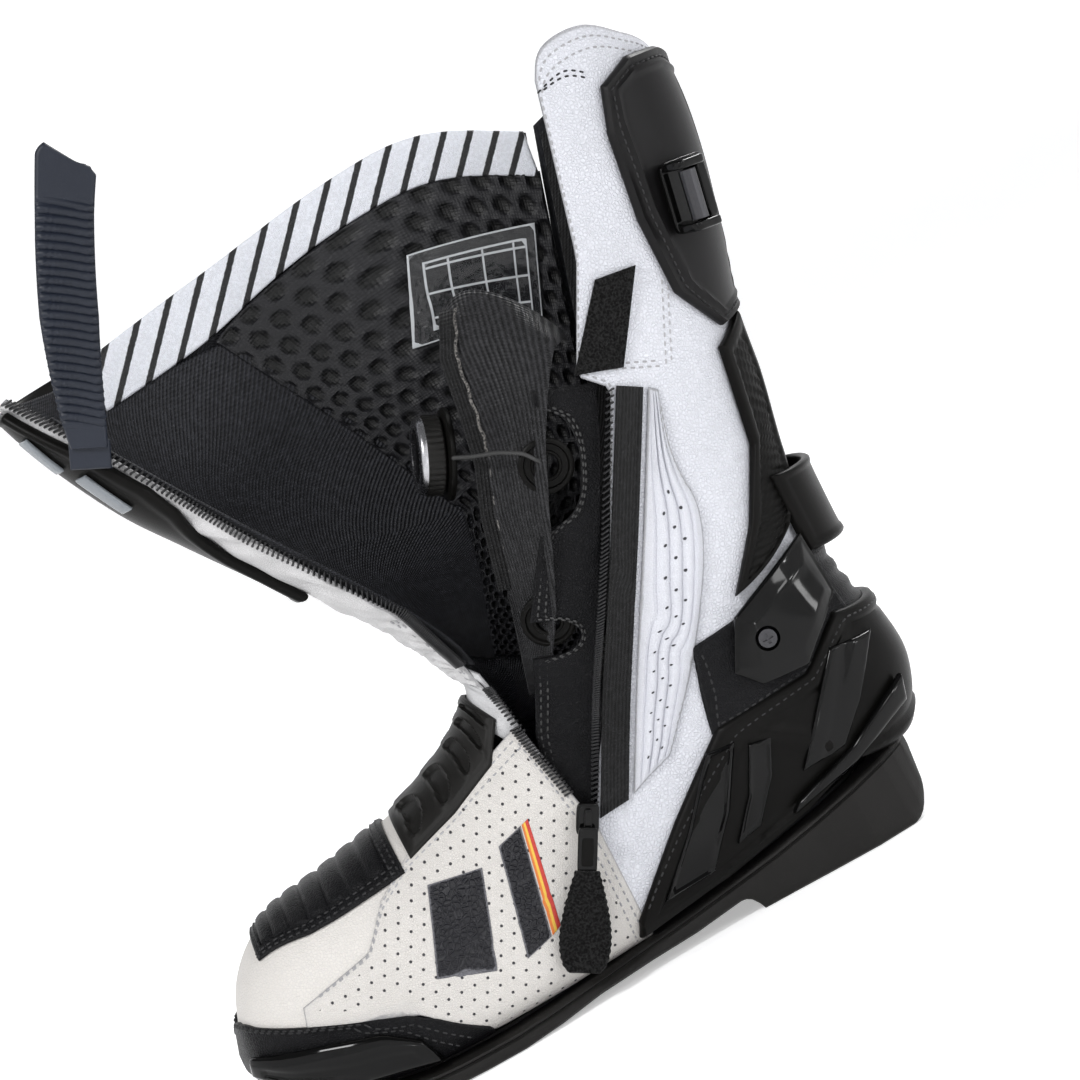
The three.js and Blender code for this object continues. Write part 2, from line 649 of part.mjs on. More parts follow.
function makeShin() {
  const edge = outerLine(SHIN_EDGE);
  const inner = innerFront(outerLine(SHIN_INNER));
  const top = joined(innerFront(outerLine([[-150, 334], [-186, 331], [-210, 327]])),
    outerLine([[-225, 336]]));
  panel("shin_panel", "white_leather", { left: inner, right: edge, high: top }, 10, 12, 0, LEATHER);
  panel("shin_lining", "knit_lining", {
    left: innerFront(outerLine([[-107, 152], [-95, 172], [-88, 196], [-114, 250], [-144, 306]])),
    right: outerLine([[-116, 150], [-128, 186], [-166, 240], [-202, 300], [-212, 316]]),
  }, 9, 12, LINING_IN, LINING_OUT);
  panel("shin_shell", "satin_plastic", {
    left: [[13.6, -34], [15.5, -42], [18.7, -38]],
    right: [[13.6, 14], [15.5, 15], [18.7, 9]],
  }, 8, 12, OVERLAY_LOW, 6);
  const inserts = [["shell_insert_upper", 17.6, 18.3], ["shell_insert_lower", 16.6, 17.3]];
  for (const [name, from, to] of inserts) {
    panel(name, "clear_plastic", {
      left: [[from, 14.5], [to, 12]],
      right: [[from, 19.5], [to, 17]],
    }, 1, 3, OVERLAY_LOW, 5);
  }
}

function makeGusset() {
  const low = joined(outerLine([[-70, 88], [-30, 90], [10, 92]]), [[11.35, 180]],
    reversed(innerBack(outerLine([[-86, 92], [-30, 90], [10, 92]]))));
  const high = joined(outerLine([[-62, 118], [-28, 116], [4, 113]]), [[12.4, 180]],
    reversed(innerBack(outerLine([[-88, 128], [-28, 116], [4, 113]]))));
  panel("ankle_gusset", "black_leather", {
    left: [low[0], high[0]],
    right: [low[low.length - 1], high[high.length - 1]],
    low,
    high,
  }, 18, 2, -3.4, -1.2);
}

function makeMedial() {
  const shin = [[-103, 143], [-90, 170], [-82.5, 195], [-110, 250], [-144, 308], [-147, 335]];
  const back = [[-70, 123], [-26, 200], [16, 325]];
  const top = [[-147, 335], [-133, 339], [-72, 346], [-24, 347], [16, 325]];
  const wall = {
    left: outerLine(shin),
    right: outerLine(back),
    low: outerLine([[-103, 143], [-88, 132], [-70, 123]]),
    high: outerLine(top),
  };
  for (const key of Object.keys(wall)) wall[key] = innerFront(wall[key]);
  panel("medial_wall", "white_leather", wall, 10, 10, 0, LEATHER);
  const lining = {
    left: outerLine([[-101, 148], [-91, 172], [-84, 196], [-110, 251], [-141, 309]]),
    right: outerLine([[-66, 127], [-24, 200], [12, 306]]),
    low: outerLine([[-101, 148], [-86, 136], [-66, 127]]),
    high: outerLine([[-141, 309], [-131, 317], [-72, 326], [-26, 326], [12, 306]]),
  };
  for (const key of Object.keys(lining)) lining[key] = innerFront(lining[key]);
  panel("medial_lining", "mesh_lining", lining, 12, 10, LINING_IN, LINING_OUT);
  const collar = {
    left: outerLine([[-196, 310], [-203, 326]]),
    right: outerLine([[13, 309], [15, 323]]),
    low: outerLine([[-196, 310], [-181, 312.5], [-146, 315], [-131, 320], [-72, 329], [-26, 329], [13, 309]]),
    high: outerLine([[-203, 326], [-186, 329], [-133, 337], [-72, 344], [-24, 345], [15, 323]]),
  };
  for (const key of Object.keys(collar)) collar[key] = innerFront(collar[key]);
  panel("collar_band", "striped_leather", collar, 16, 2, LINING_IN, LINING_OUT);
  panel("size_label", "clear_plastic", {
    left: innerFront(outerLine([[-70, 268], [-53, 304]])),
    right: innerFront(outerLine([[-16, 250], [2, 290]])),
  }, 5, 4, -6, -5);
}

function makeStrap() {
  const root = new THREE.Vector3(-210, -42, 300);
  const tip = new THREE.Vector3(-155, -48, 412);
  const way = tip.clone().sub(root);
  const length = way.length();
  way.normalize();
  const face = new THREE.Vector3(0, -1, 0).addScaledVector(way, way.y).normalize();
  const across = way.clone().cross(face);
  const place = (height) => (u, v) => {
    const bend = 9 * (v - v * v);
    const tipCut = v > 0.97 ? (u - 0.5) * 5 : 0;
    return root.clone()
      .addScaledVector(way, v * length + tipCut)
      .addScaledVector(across, (u - 0.5) * STRAP_WIDTH - bend)
      .addScaledVector(face, height(v));
  };
  const steps = STRAP_RIBS * 2 + 8;
  const ribs = (v) => STRAP_THICK + (v > 0.1 && v < 0.9 && Math.round(v * steps) % 2 ? 1.2 : 0);
  finish("strap", "black_rubber", between(1, STRAP_RIBS * 2 + 8, place(ribs), place(() => 0)));
  const anchor = between(3, 3, ...[-1, -3.4].map((h) => (u, v) => root.clone()
    .addScaledVector(way, -8 + 9 * v)
    .addScaledVector(across, (u - 0.5) * STRAP_WIDTH)
    .addScaledVector(face, h)));
  finish("strap_anchor", "satin_plastic", anchor);
}

// Inside of the leg: lacing flap, guides, tongue and dial.
function makeInside() {
  panel("inner_flap", "black_leather", {
    left: outerLine([[-104, 110], [-84, 150], [-52, 195], [-36, 236]]),
    right: outerLine([[-82, 92], [-62, 128], [-20, 205], [-10, 226]]),
  }, 4, 12, -6.6, -5);
  for (const [name, x, z] of [["lace_guide_upper", -45, 206], ["lace_guide_lower", -77, 147]]) {
    const [t, a] = outer(x, z);
    const ring = solid(disc(11, 3, -9.4, 24)).subtract(solid(disc(5, 6, -9.4, 16)));
    const shape = geometryOf(ring);
    shape.applyMatrix4(standOn(t, a, 0, new THREE.Vector3(0, 0, 1)));
    finish(name, "satin_plastic", shape);
  }
  const tongueAt = (offset) => (u, v) => {
    const x = -92 + 44 * v + 42 * u;
    const z = 190 + 82 * v - 14 * u;
    return new THREE.Vector3(x, -19 + 12 * (1 - u) ** 2 + offset, z - 6 * Math.sin(Math.PI * u));
  };
  finish("tongue", "knit_lining", between(8, 8, tongueAt(0), tongueAt(3)));
  const dialMatrix = new THREE.Matrix4().makeBasis(
    new THREE.Vector3(0, 1, 0),
    new THREE.Vector3(0.42, 0, 0.91),
    new THREE.Vector3(-0.91, 0, 0.42).multiplyScalar(-1),
  );
  const facing = new THREE.Vector3(-0.9, -0.12, 0.42).normalize();
  const side = new THREE.Vector3(0, 1, 0).cross(facing).normalize();
  dialMatrix.makeBasis(side, facing.clone().cross(side), facing);
  dialMatrix.setPosition(-82, -2, 228);
  const base = disc(DIAL_RADIUS + 2.5, 3, 1.5, 24);
  base.applyMatrix4(dialMatrix);
  finish("dial_base", "satin_plastic", base);
  const profile = [[0, 0], [15.5, 0], [DIAL_RADIUS, 1.5], [DIAL_RADIUS, 9], [15, 11], [0, 11.5]];
  const dial = new THREE.LatheGeometry(profile.map(([r, y]) => new THREE.Vector2(r, y)), 32);
  dial.rotateX(Math.PI / 2);
  dial.translate(0, 0, 3.5);
  dial.applyMatrix4(dialMatrix);
  finish("dial", "dial_metal", dial);
  const path = new THREE.CatmullRomCurve3([
    new THREE.Vector3(-70, -24, 222),
    new THREE.Vector3(-60, -27, 220),
    new THREE.Vector3(-51, -31, 216),
  ]);
  const square = new THREE.Shape([0, 1, 2, 3, 4, 5].map((k) => new THREE.Vector2(
    0.9 * Math.cos((k * Math.PI) / 3),
    0.9 * Math.sin((k * Math.PI) / 3),
  )));
  const lace = new THREE.ExtrudeGeometry(square, { steps: 8, extrudePath: path });
  finish("lace", "knit_lining", lace);
}

makeSole();
makeToe();
makeVamp();
makeHeel();
makeBrace();
makeShaft();
makeZip();
makeCatch();
makeShin();
makeGusset();
makeMedial();
makeStrap();
makeInside();

export default parts;
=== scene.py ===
# %% [markdown]
# A racing boot for the left foot, opened at its side zip. The imported model is the frame: its
# bodies move, and every piece made here rides on one of them, or, where it spans two, stays
# where it was made. The box of the imported model is kept.

# %% Load the frame
import math

import bmesh
import bpy
import numpy as np
from mathutils import Matrix, Vector


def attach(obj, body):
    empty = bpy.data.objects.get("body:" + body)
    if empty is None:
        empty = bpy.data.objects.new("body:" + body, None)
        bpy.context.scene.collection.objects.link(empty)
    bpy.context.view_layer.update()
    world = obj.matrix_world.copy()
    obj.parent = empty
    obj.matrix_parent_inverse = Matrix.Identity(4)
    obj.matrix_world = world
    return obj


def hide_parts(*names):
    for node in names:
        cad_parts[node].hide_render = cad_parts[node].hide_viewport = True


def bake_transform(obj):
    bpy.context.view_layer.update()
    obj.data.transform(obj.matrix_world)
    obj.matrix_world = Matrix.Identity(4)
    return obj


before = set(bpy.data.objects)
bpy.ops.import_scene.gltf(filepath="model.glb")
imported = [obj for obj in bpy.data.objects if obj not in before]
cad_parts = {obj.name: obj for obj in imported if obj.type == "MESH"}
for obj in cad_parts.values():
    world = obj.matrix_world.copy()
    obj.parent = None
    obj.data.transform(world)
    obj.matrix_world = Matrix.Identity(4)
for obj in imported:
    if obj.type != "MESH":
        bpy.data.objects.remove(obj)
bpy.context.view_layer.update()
MM = 0.001

# %% [markdown]
# The boot lies tilted in front of a long lens: heel up, toe down. Turning the camera about its
# own axis gives that tilt and leaves the boot standing flat in its own frame, so the other
# views still look natural. A long focal length keeps the outline close to a plain side view.

# %% Camera
TARGET = Vector((-62.0, 0, 176)) * MM
AZIMUTH, ELEVATION, ROLL = 0.0, 6.5, 29.0
DISTANCE, FOCAL_LENGTH = 2.25, 180
away = Vector((
    -math.sin(math.radians(AZIMUTH)) * math.cos(math.radians(ELEVATION)),
    -math.cos(math.radians(AZIMUTH)) * math.cos(math.radians(ELEVATION)),
    math.sin(math.radians(ELEVATION)),
))
level = Vector((0, 0, 1)).cross(away).normalized()
upright = away.cross(level)
turn = math.radians(ROLL)
right = level * math.cos(turn) - upright * math.sin(turn)
up = upright * math.cos(turn) + level * math.sin(turn)
camera = bpy.data.objects.new("camera", bpy.data.cameras.new("camera"))
camera.data.lens = FOCAL_LENGTH
camera.data.sensor_width = 36
camera.matrix_world = Matrix.Translation(TARGET + away * DISTANCE) @ Matrix(
    (right, up, away)).transposed().to_4x4()
bpy.context.scene.collection.objects.link(camera)
bpy.context.scene.camera = camera

# %% [markdown]
# A white floor that curves up into a white wall all round, and big soft lights, as in a product
# shot on white. The key light stands high at the toe side, a weaker one fills from the heel side,
# and one behind the boot edges the glossy plastics. Three small lights stand low in front and put
# glints on the heel, the ankle cup and the toe.

# %% Lights and floor
def area_light(name, place, energy, size):
    """A square light of that size aimed at the boot."""
    lamp = bpy.data.objects.new(name, bpy.data.lights.new(name, "AREA"))
    lamp.data.energy = energy
    lamp.data.size = size
    lamp.location = Vector(place)
    lamp.rotation_euler = (Vector(place) - TARGET).to_track_quat("Z", "Y").to_euler()
    bpy.context.scene.collection.objects.link(lamp)


area_light("key", (-0.7, -1.0, 1.3), 13.5, 0.4)
area_light("fill", (0.9, -1.2, 0.7), 3, 0.3)
area_light("rim", (0.7, 0.6, 1.0), 9, 0.3)
area_light("kicker", (1.3, -1.0, 0.45), 1.5, 0.1)
area_light("heel_glint", (1.4, -0.8, 0.08), 1.2, 0.16)
area_light("sparkle", (-0.2, -1.6, 0.05), 0.5, 0.08)
world = bpy.data.worlds.new("studio")
world.use_nodes = True
world.node_tree.nodes["Background"].inputs[0].default_value = (0.95, 0.96, 0.98, 1)
world.node_tree.nodes["Background"].inputs[1].default_value = 0.2
bpy.context.scene.world = world
bpy.context.scene.view_settings.view_transform = "Standard"
FLAT_RADIUS, BEND_RADIUS, WALL_TOP, SIDES = 3.4, 0.8, 3.2, 96
turn_up = np.linspace(0, math.pi / 2, 17)
bowl = np.array([(0.02, 0.0), *zip(FLAT_RADIUS + BEND_RADIUS * np.sin(turn_up),
                                   BEND_RADIUS - BEND_RADIUS * np.cos(turn_up)),
                 (FLAT_RADIUS + BEND_RADIUS, WALL_TOP)])
around = np.linspace(0, math.tau, SIDES + 1)[:-1]
floor_points = np.stack([bowl[:, :1] * np.cos(around), bowl[:, :1] * np.sin(around),
                         bowl[:, 1:] + 0 * around], -1).reshape(-1, 3)
floor_faces = [tuple(range(SIDES))] + [
    (SIDES * r + k, SIDES * (r + 1) + k, SIDES * (r + 1) + (k + 1) % SIDES,
     SIDES * r + (k + 1) % SIDES) for r in range(len(bowl) - 1) for k in range(SIDES)]
floor_mesh = bpy.data.meshes.new("floor")
floor_mesh.from_pydata(floor_points.tolist(), [], floor_faces)
floor_mesh.shade_smooth()
floor = bpy.data.objects.new("floor", floor_mesh)
bpy.context.scene.collection.objects.link(floor)

# %% [markdown]
# Shader patterns are sums and products of numbers over the surface. Writing them as Python
# expressions keeps them readable: a small class wraps a node's output, and each operator adds
# one Math node.

# %% Shader expressions
class Value:
    """A number or vector over the surface; operators add Math nodes."""

    def __init__(self, shader, socket):
        self.shader = shader
        self.socket = socket

    def step(self, start, end):
        """0 before start, 1 after end, smooth between."""
        return self.shader.node("ShaderNodeMapRange", {"interpolation_type": "SMOOTHSTEP"},
                                self, start, end, 0.0, 1.0)


def math_method(operation, swapped=False):
    """A method of Value that adds a Math node; swapped puts the value second."""
    def method(self, *others):
        values = (*others, self) if swapped else (self, *others)
        return self.shader.node("ShaderNodeMath", {"operation": operation}, *values)
    return method


for method_name, node_operation, is_swapped in (
        ("__add__", "ADD", False), ("__radd__", "ADD", False),
        ("__sub__", "SUBTRACT", False), ("__rsub__", "SUBTRACT", True),
        ("__mul__", "MULTIPLY", False), ("__rmul__", "MULTIPLY", False),
        ("__truediv__", "DIVIDE", False), ("sin", "SINE", False), ("fract", "FRACT", False),
        ("floor", "FLOOR", False), ("absolute", "ABSOLUTE", False), ("root", "SQRT", False),
        ("minimum", "MINIMUM", False), ("maximum", "MAXIMUM", False)):
    setattr(Value, method_name, math_method(node_operation, is_swapped))


class Shader:
    """A material with one Principled BSDF and the nodes that feed it."""

    def __init__(self, name, **fixed):
        self.material = bpy.data.materials.new(name)
        self.material.use_nodes = True
        self.tree = self.material.node_tree
        self.bsdf = self.tree.nodes["Principled BSDF"]
        for key, value in fixed.items():
            self.bsdf.inputs[key.replace("_", " ")].default_value = value
        place = self.tree.nodes.new("ShaderNodeTexCoord")
        self.place = Value(self, place.outputs["Object"])
        self.uv = Value(self, place.outputs["UV"])

    def put(self, socket, value):
        if isinstance(value, Value):
            self.tree.links.new(value.socket, socket)
        elif hasattr(value, "__len__") and len(value) == 3 and socket.type == "RGBA":
            socket.default_value = (*value, 1)
        else:
            socket.default_value = value

    def node(self, kind, settings, *values, output=0, **named):
        node = self.tree.nodes.new(kind)
        for key, value in settings.items():
            setattr(node, key, value)
        for socket, value in zip(node.inputs, values):
            self.put(socket, value)
        for key, value in named.items():
            self.put(node.inputs[key.replace("_", " ")], value)
        return Value(self, node.outputs[output])

    def noise(self, scale, detail=3.0):
        return self.node("ShaderNodeTexNoise", {}, Vector=self.place, Scale=scale,
                         Detail=detail)

    def cells(self, scale, feature="F1"):
        return self.node("ShaderNodeTexVoronoi", {"feature": feature}, Vector=self.place,
                         Scale=scale)

    def split(self, vector):
        node = self.tree.nodes.new("ShaderNodeSeparateXYZ")
        self.put(node.inputs[0], vector)
        return [Value(self, node.outputs[k]) for k in range(3)]

    def attribute(self, name):
        return self.node("ShaderNodeAttribute", {"attribute_name": name}, output=2)

    def mix(self, share, first, second):
        node = self.tree.nodes.new("ShaderNodeMix")
        node.data_type = "RGBA"
        self.put(node.inputs[0], share)
        self.put(node.inputs[6], first)
        self.put(node.inputs[7], second)
        return Value(self, node.outputs[2])

    def finish(self, color=None, rough=None, height=None, depth=1.0, **others):
        """Links what varies; height is in millimetres times depth."""
        if color is not None:
            self.put(self.bsdf.inputs["Base Color"], color)
        if rough is not None:
            self.put(self.bsdf.inputs["Roughness"], rough)
        if height is not None:
            bump = self.node("ShaderNodeBump", {}, Strength=1.0, Distance=depth * MM,
                             Height=height)
            self.put(self.bsdf.inputs["Normal"], bump)
        for key, value in others.items():
            self.put(self.bsdf.inputs[key.replace("_", " ")], value)
        return self.material


# %% [markdown]
# Corrected-grain leather is covered with tiny pebbles a millimetre wide between shallow
# valleys. A Voronoi pattern gives the pebbles, a finer noise the pores, and a slow noise a
# little uneven tone. Perforations are a staggered grid of round pits in the panel's own flat
# coordinates, so they follow its curve.

# %% Leathers
def pebbles(shader, size_mm):
    """Height from 0 in a valley to 1 on a pebble of about size_mm."""
    edge = shader.cells(1000 / size_mm, "DISTANCE_TO_EDGE")
    return edge.step(0.0, 0.22) * 0.8 + shader.noise(2600, 2.0) * 0.35


def dots(shader, pitch_mm, radius_mm):
    """1 inside the dots of a staggered grid, in the piece's flat coordinates."""
    u, v, _ = shader.split(shader.uv)
    row = v * (1000 / (pitch_mm * 0.866))
    shift = (row.floor() * 0.5).fract()
    du = ((u * (1000 / pitch_mm) + shift).fract() - 0.5) * pitch_mm
    dv = (row.fract() - 0.5) * (pitch_mm * 0.866)
    away_mm = (du * du + dv * dv).root()
    return 1 - away_mm.step(radius_mm * 0.72, radius_mm * 1.15)


def leather(name, tone, shade_and_dirt, size_mm=1.0, rough=0.46, depth=0.16, holes=None, creases=0.0,
            raw=None, shine=0.3):
    """Grained leather: tone is the colour, shade_and_dirt the colour painted as shade into its
    valleys and creases and, with some grime, along its seams; raw that of its cut rim.
    """
    shader = Shader(name, Specular_IOR_Level=shine)
    grain = pebbles(shader, size_mm)
    tint = shader.noise(18, 3.0).step(0.3, 0.75)
    color = shader.mix(tint, tone, [0.94 * c for c in tone])
    # Painted shade: the valleys between the pebbles are coloured darker.
    color = shader.mix((1 - grain).step(0.5, 1.0) * 0.35, color, shade_and_dirt)
    height = grain
    roughness = rough + shader.noise(60) * 0.1 - grain * 0.04
    if creases:
        fold = shader.noise(48, 4.0) * 3.0 * creases + shader.noise(120, 3.0) * 1.3 * creases
        height = height + fold * 4.0
        # Painted shade: the sunken parts of the folds are coloured darker.
        color = shader.mix(shader.noise(48, 4.0).step(0.55, 0.3) * 0.5 * creases, color, shade_and_dirt)
    if raw:
        rim = shader.attribute("rim") + shader.noise(700) * 0.5
        color = shader.mix((1 - rim.step(0.6, 1.3)) * 0.75, color, raw)
        # Painted shade of the seam groove, with some grime: a darker band within 5 mm of the cut
        # edge.
        color = shader.mix((1 - rim.step(1.0, 5.0)) * 0.16, color, shade_and_dirt)
    if holes:
        pit = dots(shader, *holes) * shader.attribute("rim").step(5.8, 6.4)
        # The holes are painted dark: the black lining behind them, and painted shade inside them.
        color = shader.mix(pit, color, (0.05, 0.05, 0.055))
        height = height - pit * 5.0
        roughness = roughness + pit * 0.3
    return shader.finish(color, roughness, height, depth)


WHITE = (0.63, 0.64, 0.69)
WARM_WHITE = (0.64, 0.615, 0.585)
WHITE_SHADE_AND_DIRT = (0.38, 0.38, 0.40)
RAW_GREY = (0.24, 0.24, 0.25)
BLACK = (0.006, 0.006, 0.007)
white_smooth = leather("white_leather", WHITE, WHITE_SHADE_AND_DIRT, 1.5, raw=RAW_GREY, depth=0.34)
white_toe = leather("white_toe", WARM_WHITE, WHITE_SHADE_AND_DIRT, 1.3, raw=RAW_GREY, depth=0.16)
white_perforated = leather("white_perforated", WARM_WHITE, WHITE_SHADE_AND_DIRT, 1.0, holes=(6.1, 0.62),
                           raw=RAW_GREY, depth=0.2)
white_quilted = leather("white_quilted", WHITE, WHITE_SHADE_AND_DIRT, 0.9, holes=(6.9, 0.6),
                        raw=RAW_GREY)
white_crumpled = leather("white_crumpled", (0.62, 0.62, 0.63), (0.33, 0.33, 0.34), 1.0,
                         creases=1.0, raw=RAW_GREY)
leaf_leather = leather("leaf_leather", (0.59, 0.585, 0.59), (0.34, 0.335, 0.335), 1.0,
                       creases=0.45, raw=RAW_GREY)
black_leather = leather("black_leather", BLACK, (0.002, 0.002, 0.002), 1.3, rough=0.36,
                        depth=0.22, creases=0.25, raw=(0.014, 0.014, 0.015), shine=0.11)
# Its valley colour is lighter than its face: the pale lines of the crackle.
crackle_black = leather("crackle_black", (0.005, 0.005, 0.008), (0.03, 0.03, 0.036), 2.4,
                        rough=0.3, depth=0.6, raw=(0.20, 0.20, 0.22), shine=0.35)

# %% [markdown]
# Rubber and plastic differ mostly in gloss. Rubber has a fine matte texture from its mould,
# satin plastic a faint pebble, and the polished inserts only a trace of flow and fine scratches.

# %% Rubbers and plastics
def moulded(name, tone, rough, texture, depth, coat=0.0, wear=0.05, shine=0.3):
    """Moulded rubber or plastic with a texture of that many cells per metre."""
    shader = Shader(name, Coat_Weight=coat, Coat_Roughness=0.08, Specular_IOR_Level=shine)
    height = shader.noise(texture, 3.0) + shader.noise(texture * 0.3, 2.0) * 0.5
    smudge = shader.noise(25, 4.0).step(0.35, 0.7)
    color = shader.mix(smudge * wear * 4, tone, [min(1, 1.8 * c + 0.003) for c in tone])
    return shader.finish(color, rough + smudge * wear, height, depth)


sole_rubber = moulded("sole_rubber", (0.009, 0.0085, 0.008), 0.5, 1500, 0.12, shine=0.16)
black_rubber = moulded("black_rubber", (0.007, 0.0066, 0.006), 0.45, 1800, 0.1, shine=0.16)
strap_rubber = moulded("strap_rubber", (0.0095, 0.0125, 0.021), 0.42, 1500, 0.08)
satin_plastic = moulded("satin_plastic", (0.0035, 0.0033, 0.003), 0.33, 2400, 0.06,
                        shine=0.08)
guard_plastic = moulded("guard_plastic", (0.0055, 0.0052, 0.0055), 0.38, 2400, 0.06,
                        shine=0.15)
gloss_plastic = moulded("gloss_plastic", (0.002, 0.002, 0.002), 0.07, 300, 0.01, wear=0.03,
                        shine=0.2)
zip_plastic = moulded("zip_teeth", (0.012, 0.012, 0.013), 0.36, 2000, 0.03)

# %% [markdown]
# Fabrics: a ribbed zip tape, a fine twill lining, two knits, an open spacer mesh, and the fuzzy
# side of hook-and-loop tape. Each is a pattern of threads in the piece's flat coordinates.

# %% Fabrics
def woven(name, tone, light, warp_mm, weft_mm, slant=0.0, depth=0.2, rough=0.85):
    """Threads as ridges along both flat coordinates; slant turns it into a twill; light is
    painted on the ridge tops as sheen.
    """
    shader = Shader(name, Sheen_Weight=0.04, Sheen_Roughness=0.5, Specular_IOR_Level=0.2)
    u, v, _ = shader.split(shader.uv)
    across = (u * (1000 * math.tau / warp_mm) + v * (1000 * math.tau / warp_mm) * slant).sin()
    down = (v * (1000 * math.tau / weft_mm)).sin()
    height = across * 0.5 + down * 0.25 + shader.noise(3000, 2.0) * 0.3
    fibre = shader.noise(400, 4.0).step(0.35, 0.75)
    # Painted highlight: the tops of the raised threads are coloured lighter, mixed with random
    # paler fibres.
    color = shader.mix((across * 0.5 + 0.5) * 0.6 + fibre * 0.4, tone, light)
    return shader.finish(color, rough, height, depth)


zip_tape = woven("zip_tape", (0.002, 0.002, 0.002), (0.017, 0.017, 0.018), 1.5, 1.5, depth=0.5,
                 rough=0.6)
twill_lining = woven("twill_lining", (0.003, 0.003, 0.004), (0.026, 0.027, 0.033), 1.1, 1.1,
                     slant=1.0, depth=0.35, rough=0.5)
knit_lining = woven("knit_lining", (0.003, 0.003, 0.003), (0.021, 0.021, 0.022), 1.7, 0.9,
                    slant=0.35, depth=0.35, rough=0.55)


tongue_knit = woven("tongue_knit", (0.0025, 0.0025, 0.003), (0.034, 0.034, 0.037), 1.9, 1.2,
                    slant=0.15, depth=0.5, rough=0.42)


def mesh_finish():
    """Spacer mesh: pits from the shape itself, painted darker as shade, fine threads between
    them.
    """
    shader = Shader("mesh_lining", Specular_IOR_Level=0.3)
    u, v, _ = shader.split(shader.uv)
    thread = (u * (1000 * math.tau / 0.8)).sin() * 0.5 + (v * (1000 * math.tau / 0.8)).sin() * 0.5
    pit = shader.attribute("pit")
    # Painted shade: the pits are coloured near black.
    color = shader.mix(pit, (0.010, 0.010, 0.012), (0.0008, 0.0008, 0.0009))
    return shader.finish(color, 0.42, thread * 0.3 + shader.noise(2500, 2.0) * 0.4, 0.25)


def fuzzy(name, tone, light):
    """Matted loops: a fine tangle whose high tips are painted lighter as a highlight."""
    shader = Shader(name, Sheen_Weight=0.06, Sheen_Roughness=0.4, Specular_IOR_Level=0.1)
    tangle = shader.noise(1100, 5.0) + shader.cells(900) * 0.5
    return shader.finish(shader.mix(tangle.step(0.55, 1.0), tone, light), 0.95, tangle, 0.9)


mesh_lining = mesh_finish()
hook_fabric = fuzzy("hook_fabric", (0.002, 0.002, 0.002), (0.016, 0.016, 0.016))


def striped_finish():
    """White collar leather with slanting black stripes printed across it."""
    shader = Shader("striped_leather", Coat_Weight=0.05, Coat_Roughness=0.4)
    x, _, z = shader.split(shader.place)
    band = ((x * 0.73 - z * 0.68 + shader.noise(500) * 0.0006) * (1000 / 10.6)).fract()
    stripe = band.step(0.0, 0.04) * (1 - band.step(0.25, 0.29))
    color = shader.mix(shader.noise(900, 3.0).step(0.35, 0.6) * 0.2, (0.76, 0.78, 0.84),
                       WHITE_SHADE_AND_DIRT)
    color = shader.mix(stripe, color, (0.006, 0.006, 0.007))
    return shader.finish(color, 0.5, pebbles(shader, 0.8), 0.2)


def label_finish():
    """Clear film with an empty pale frame and grid printed on it."""
    shader = Shader("clear_label", Roughness=0.16, Coat_Weight=0.4)
    u, v, _ = shader.split(shader.uv)
    rim = shader.attribute("rim")
    line = (1 - rim.step(0.6, 0.9)) + rim.step(5.0, 5.2) * (1 - rim.step(5.9, 6.1))
    cell = ((u * (1000 / 15.0)).fract() - 0.5).absolute().step(0.46, 0.475)
    cell = cell.maximum(((v * (1000 / 11.0)).fract() - 0.5).absolute().step(0.45, 0.465))
    mark = line.maximum(cell * rim.step(6.0, 6.1)).minimum(1.0)
    return shader.finish(shader.mix(mark, (0.03, 0.031, 0.034), (0.5, 0.52, 0.54)), None,
                         shader.noise(140, 2.0), 1.6, Alpha=mark * 0.4 + 0.5)


striped_leather = striped_finish()
label_film = label_finish()
clear_plastic = moulded("clear_plastic", (0.16, 0.175, 0.19), 0.18, 300, 0.02, coat=0.4)
thread_white = moulded("thread_white", (0.33, 0.33, 0.34), 0.7, 2500, 0.1)
thread_black = moulded("thread_black", (0.022, 0.022, 0.023), 0.6, 2500, 0.1)


def metal(name, tone, rough):
    """Brushed or blackened metal."""
    shader = Shader(name, Metallic=1.0)
    streak = shader.noise(900, 3.0)
    return shader.finish(shader.mix(streak, tone, [0.8 * c for c in tone]),
                         rough + streak * 0.12, streak, 0.02)


screw_steel = metal("screw_steel", (0.07, 0.07, 0.075), 0.3)
dial_metal = metal("dial_metal", (0.5, 0.5, 0.52), 0.2)


def floor_finish():
    """Matte white with the faintest tone."""
    shader = Shader("floor_white", Specular_IOR_Level=0.1, Emission_Color=(1, 1, 1, 1),
                    Emission_Strength=0.40)
    tone = shader.noise(3, 2.0)
    return shader.finish(shader.mix(tone, (0.93, 0.93, 0.935), (0.9, 0.9, 0.905)), 0.85)


floor_mesh.materials.append(floor_finish())
print("materials:", len(bpy.data.materials))

# %% [markdown]
# The whole upper hangs on one smooth surface, the last. It is a stack of rounded sections from
# the toe to the open top; each has a front point, a back point, a half width and how full its
# two ends are. A point on it has a station and an angle round the section: 0 at the front, 90
# on the outer side, 180 at the back or the sole, and negative on the inner side.

